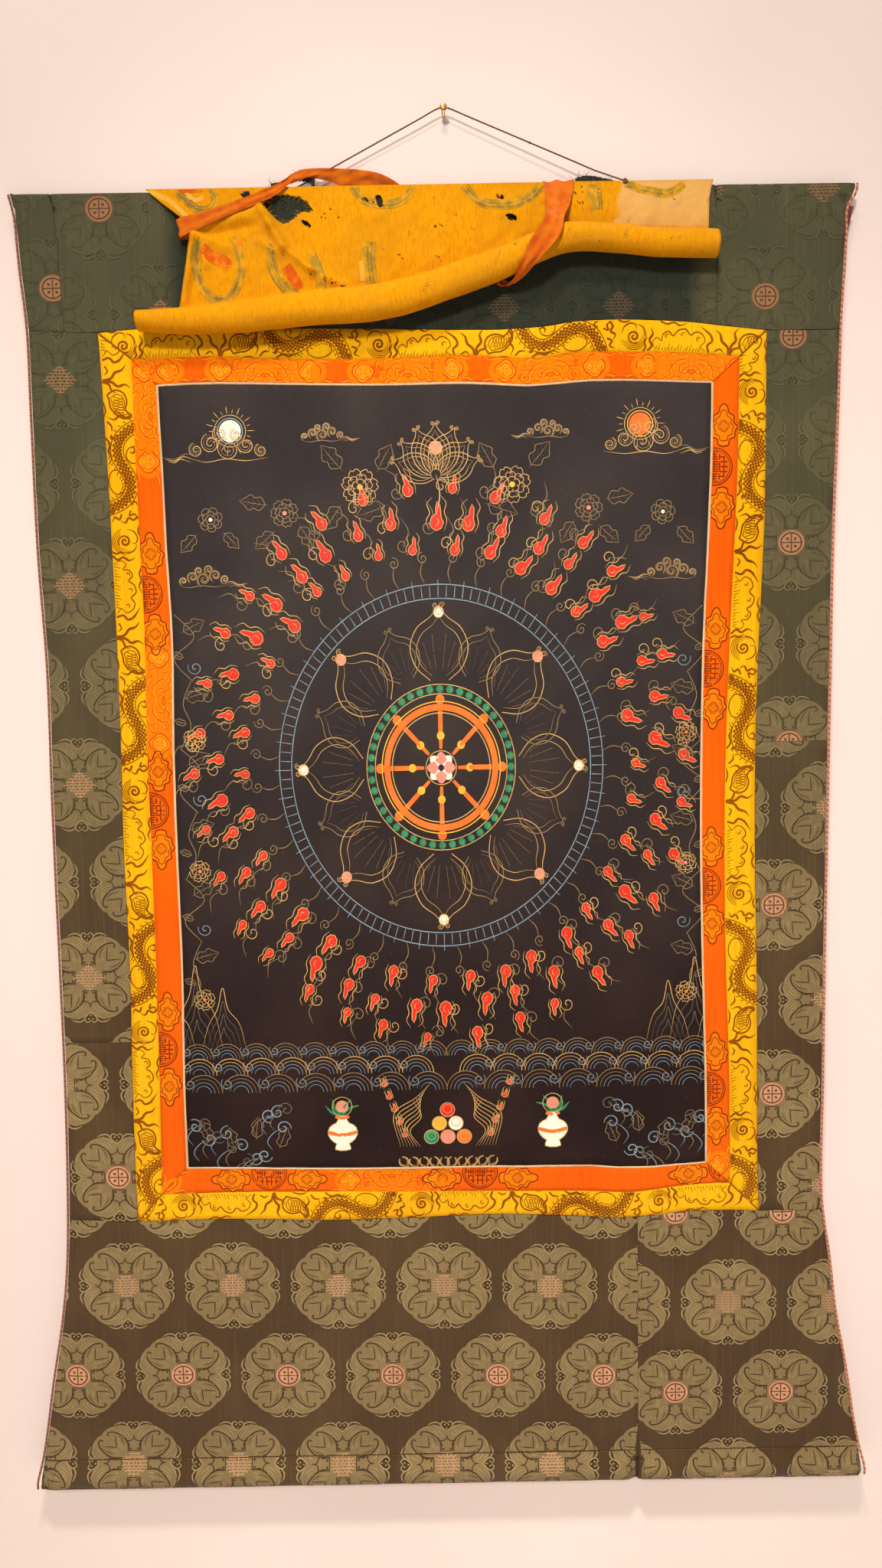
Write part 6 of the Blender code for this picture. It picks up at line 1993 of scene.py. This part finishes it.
def brushed(drawing, line, width, ink, seed):
    """A broad brush stroke: hair lines side by side that start and end unevenly."""
    draw = np.random.default_rng(seed)
    middle = through(line, drawing.step)
    ahead = np.gradient(middle)
    side = 1j * ahead / abs(ahead)
    hairs_across = max(3, round(width / 0.0012))
    for k in range(hairs_across):
        across = (k + 0.5) / hairs_across - 0.5
        first = int(draw.random()**2 * 0.09 * len(middle))
        last = len(middle) - int(draw.random()**2 * 0.12 * len(middle))
        path = (middle + side * width * across * (1 + 0.05 * draw.normal()))[first:last]
        if len(path) > 2:
            tone = DEEP_OLIVE if ink == OLIVE and draw.random() < 0.28 else ink
            drawing.stroke(list(path), width / hairs_across * 1.35, tone, 0.7, 0.6, False)


def veil_dye():
    dye = Drawing(0.0030)
    for k, brush in enumerate(DYE_STROKES):
        brushed(dye, brush.line, brush.width, brush.ink, 80 + k)
    draw = np.random.default_rng(79)
    for speck in VEIL_SPECKS:
        for _ in range(4):
            spot = complex(speck.x, speck.z) + speck.size * 0.8 * complex(*draw.normal(size=2))
            way = cmath.exp(1j * draw.random() * 6)
            shape = [way * r * cmath.exp(1.05j * k) for k, r in enumerate(draw.random(6) * 0.6 + 0.3)]
            dye.fill([spot + 0.55 * speck.size * point for point in shape], STAIN)
    for k, (x, wide) in enumerate(ROLL_BANDS):
        top, foot = float(read(ROLL, "x", "top", x)), float(read(ROLL, "x", "foot", x))
        lean = 0.006
        line = [(x + lean, top - 0.001), (x + 0.3 * lean, mix(top, foot, 0.35)), (x - lean, foot + 0.004)]
        brushed(dye, line, wide, OLIVE, 60 + k)
    return dye


def hairs(name, roots, ways, finish, width=0.00028):
    """Loose threads: thin bent ribbons of a few faces each."""
    draw = np.random.default_rng(61)
    verts, faces = [], []
    for root, way in zip(roots, ways):
        bend = Vector(draw.normal(size=3) * 0.45) * way.length
        bend.y = -abs(bend.y) * 0.4
        side = way.cross(Vector((0, 1, 0))).normalized() * width / 2
        start = len(verts)
        for k in range(5):
            t = k / 4
            spot = root + way * t + bend * t * t
            thin = 1 - 0.7 * t
            verts += [spot - side * thin, spot + side * thin]
        faces += [(start + 2 * k, start + 2 * k + 1, start + 2 * k + 3, start + 2 * k + 2) for k in range(4)]
    mesh = bpy.data.meshes.new(name)
    mesh.from_pydata(verts, [], faces)
    return add_piece(name, mesh, [finish])


def fringe_round(holes, cloth):
    draw = np.random.default_rng(62)
    roots, ways = [], []
    for k, hole in enumerate(holes):
        for spot in hole[:: 1 if k == 0 else 2]:
            if draw.random() < 0.8:
                inwards = (hole.mean() - spot) / abs(hole.mean() - spot)
                long = (0.002 + 0.004 * draw.random()) * (1.0 if k == 0 else 0.4)
                way = inwards * long * cmath.exp(1j * draw.normal() * 0.6)
                roots.append(cloth.point(complex(spot), 0.0004))
                ways.append(Vector((way.real, -0.0005, way.imag)))
    return hairs("veil_frayed_threads", roots, ways, cloth.piece.data.materials[0])


def silk_strip(node, finish, width, pleats, depth, seed, columns=14, rows=90, thickness=0.0009):
    """A ribbon between its solid's two edges, with pleats and small crumples along it."""
    first, second = (resampled(rail, rows) for rail in rails(node, thickness))
    share = np.linspace(0, 1, columns)[None, :, None]
    grid = first[:, None] + (second - first)[:, None] * share
    ahead = np.gradient(grid, axis=0)
    across = np.gradient(grid, axis=1)
    normal = np.cross(ahead, across)
    normal /= np.linalg.norm(normal, axis=2)[..., None]
    if normal[..., 1].mean() > 0:
        normal = -normal
    run = np.arange(rows)[:, None] / rows
    u = share[..., 0]
    wave = np.cos(2 * math.pi * (pleats * u + 0.12 * np.sin(9 * run + seed)))
    crumple = uneven(run * 0.5 + 0 * u, u * 0.05 + 0 * run, 0.03, seed)
    grid = grid + normal * (depth * (0.6 * wave + 0.5 * crumple))[..., None]
    mesh = grid_mesh(node, grid)
    piece = add_piece(node + "_silk", mesh, [finish], [node])
    long = float(np.linalg.norm(np.diff(grid.mean(axis=1), axis=0), axis=1).sum())
    return piece, mesh, round(max(width, surface_area(mesh) / long), 3), round(long, 3)


def ribbon_finish():
    finish = Finish("ribbon_silk", 0.40, 0.0, 0.0, 0.25)
    slubs = finish.between(finish.noise((90, 90, 90), 3.0), 0.38, 0.68)
    patches = finish.between(finish.noise((14, 14, 14)), 0.40, 0.66)
    colour = finish.blend(slubs, srgb(255, 136, 26), srgb(240, 108, 12))
    colour = finish.blend(finish.math("MULTIPLY", patches, 0.4), colour, srgb(206, 90, 14))
    return finish.done(colour, finish.math("ADD", finish.weave(0.0008), slubs), 0.0003)


def make_ribbons():
    silk = ribbon_finish()
    for node, pleats, depth, seed in (("ribbon_left", 1.4, 0.0017, 3), ("ribbon_right", 2.0, 0.0018, 7)):
        piece, _, width, long = silk_strip(node, silk, 0.012, pleats, depth, seed)


# Ovals torn out of the tabs, which leave ragged arcs of cloth
TORN_TABS = {
    "cord_tab_left": [Oval(-0.1700, -0.0840, 0.0200, 0.0085, 0.10),
                      Oval(-0.1960, -0.0660, 0.0080, 0.0060, 0.3)],
    "cord_tab_right": [Oval(0.1480, -0.0740, 0.0100, 0.0040, 0.2)],
}


def torn_away(mesh, ovals):
    """Takes the faces inside the ovals out of a cloth."""
    shape = bmesh.new()
    shape.from_mesh(mesh)
    gone = []
    for k, oval in enumerate(ovals):
        rim = ragged(oval_line(oval, 14), 0.0008, 90 + k)
        centres = [face.calc_center_median() for face in shape.faces]
        within = inside(np.array([complex(c.x, c.z) for c in centres]), rim)[0]
        gone += [face for face, away in zip(shape.faces, within) if away]
    bmesh.ops.delete(shape, geom=list(set(gone)), context="FACES")
    shape.to_mesh(mesh)
    shape.free()


def make_tabs():
    """The black cloth tabs that the cord is tied to, frayed along their edges."""
    finish = Finish("black_cloth", 0.85, 0.3)
    wear = finish.between(finish.noise((260, 260, 260), 4.0), 0.45, 0.70)
    black = finish.done(finish.blend(wear, srgb(26, 24, 22), srgb(58, 50, 40)),
                        finish.math("ADD", finish.weave(0.0012), wear), 0.0004)
    draw = np.random.default_rng(71)
    for node, torn in TORN_TABS.items():
        piece, mesh, width, long = silk_strip(node, black, 0.010, 1.3, 0.0008, 5, 16, 70, 0.0021)
        torn_away(mesh, torn)
        spots = coordinates(mesh)
        low, high = spots.min(axis=0), spots.max(axis=0)
        roots, ways = [], []
        for _ in range(190):
            spot = spots[draw.integers(len(spots))]
            roots.append(Vector(spot) - Vector((0, 0.0004, 0)))
            way = draw.normal(size=3) * (0.0032, 0.0010, 0.0030)
            if spot[0] < low[0] + 0.010 or spot[0] > high[0] - 0.006:
                way[0] *= 2.0
            ways.append(Vector(way))
        fray = hairs(node + "_fray", roots, ways, black, 0.0005)
        width = max(0.010, width)


FLAT_SIZES = {
    "veil": (0.655, 0.400),
    "mount_foot_left": (0.755, 0.430), "mount_foot_right": (0.290, 0.430),
    "mount_left_upper": (0.090, 0.840), "mount_left_lower": (0.090, 0.235),
    "mount_right_upper": (0.085, 0.480), "mount_right_lower": (0.085, 0.590),
    "mount_top_left": (0.055, 0.215), "mount_top_centre": (0.755, 0.215),
    "mount_top_right": (0.160, 0.215),
}


def main():
    make_camera()
    make_hanging_cord()
    make_stage()
    make_light()
    cloths = make_damask()
    cloths.update(make_yellow_borders())
    cloths.update(make_orange_borders())
    make_fillets()
    cloths["painting"] = make_painting()
    cloths["veil"] = make_veil()
    make_ribbons()
    make_tabs()
    cloths["lining"] = hung_cloth("lining", 0.001, woven("lining_red", srgb(128, 22, 22), srgb(84, 10, 12)),
                                  ["mount_top_centre"])
    make_edge_cords()
    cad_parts["wall_pin"].data.materials.clear()
    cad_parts["wall_pin"].data.materials.append(metal_finish())
    for node, cloth in cloths.items():
        width, length = FLAT_SIZES.get(node, (None, None))
        if width is None:
            low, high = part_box(node)
            width, length = round(high.x - low.x, 3), round(high.z - low.z, 3)
        cloth.declare(width, length)


main()
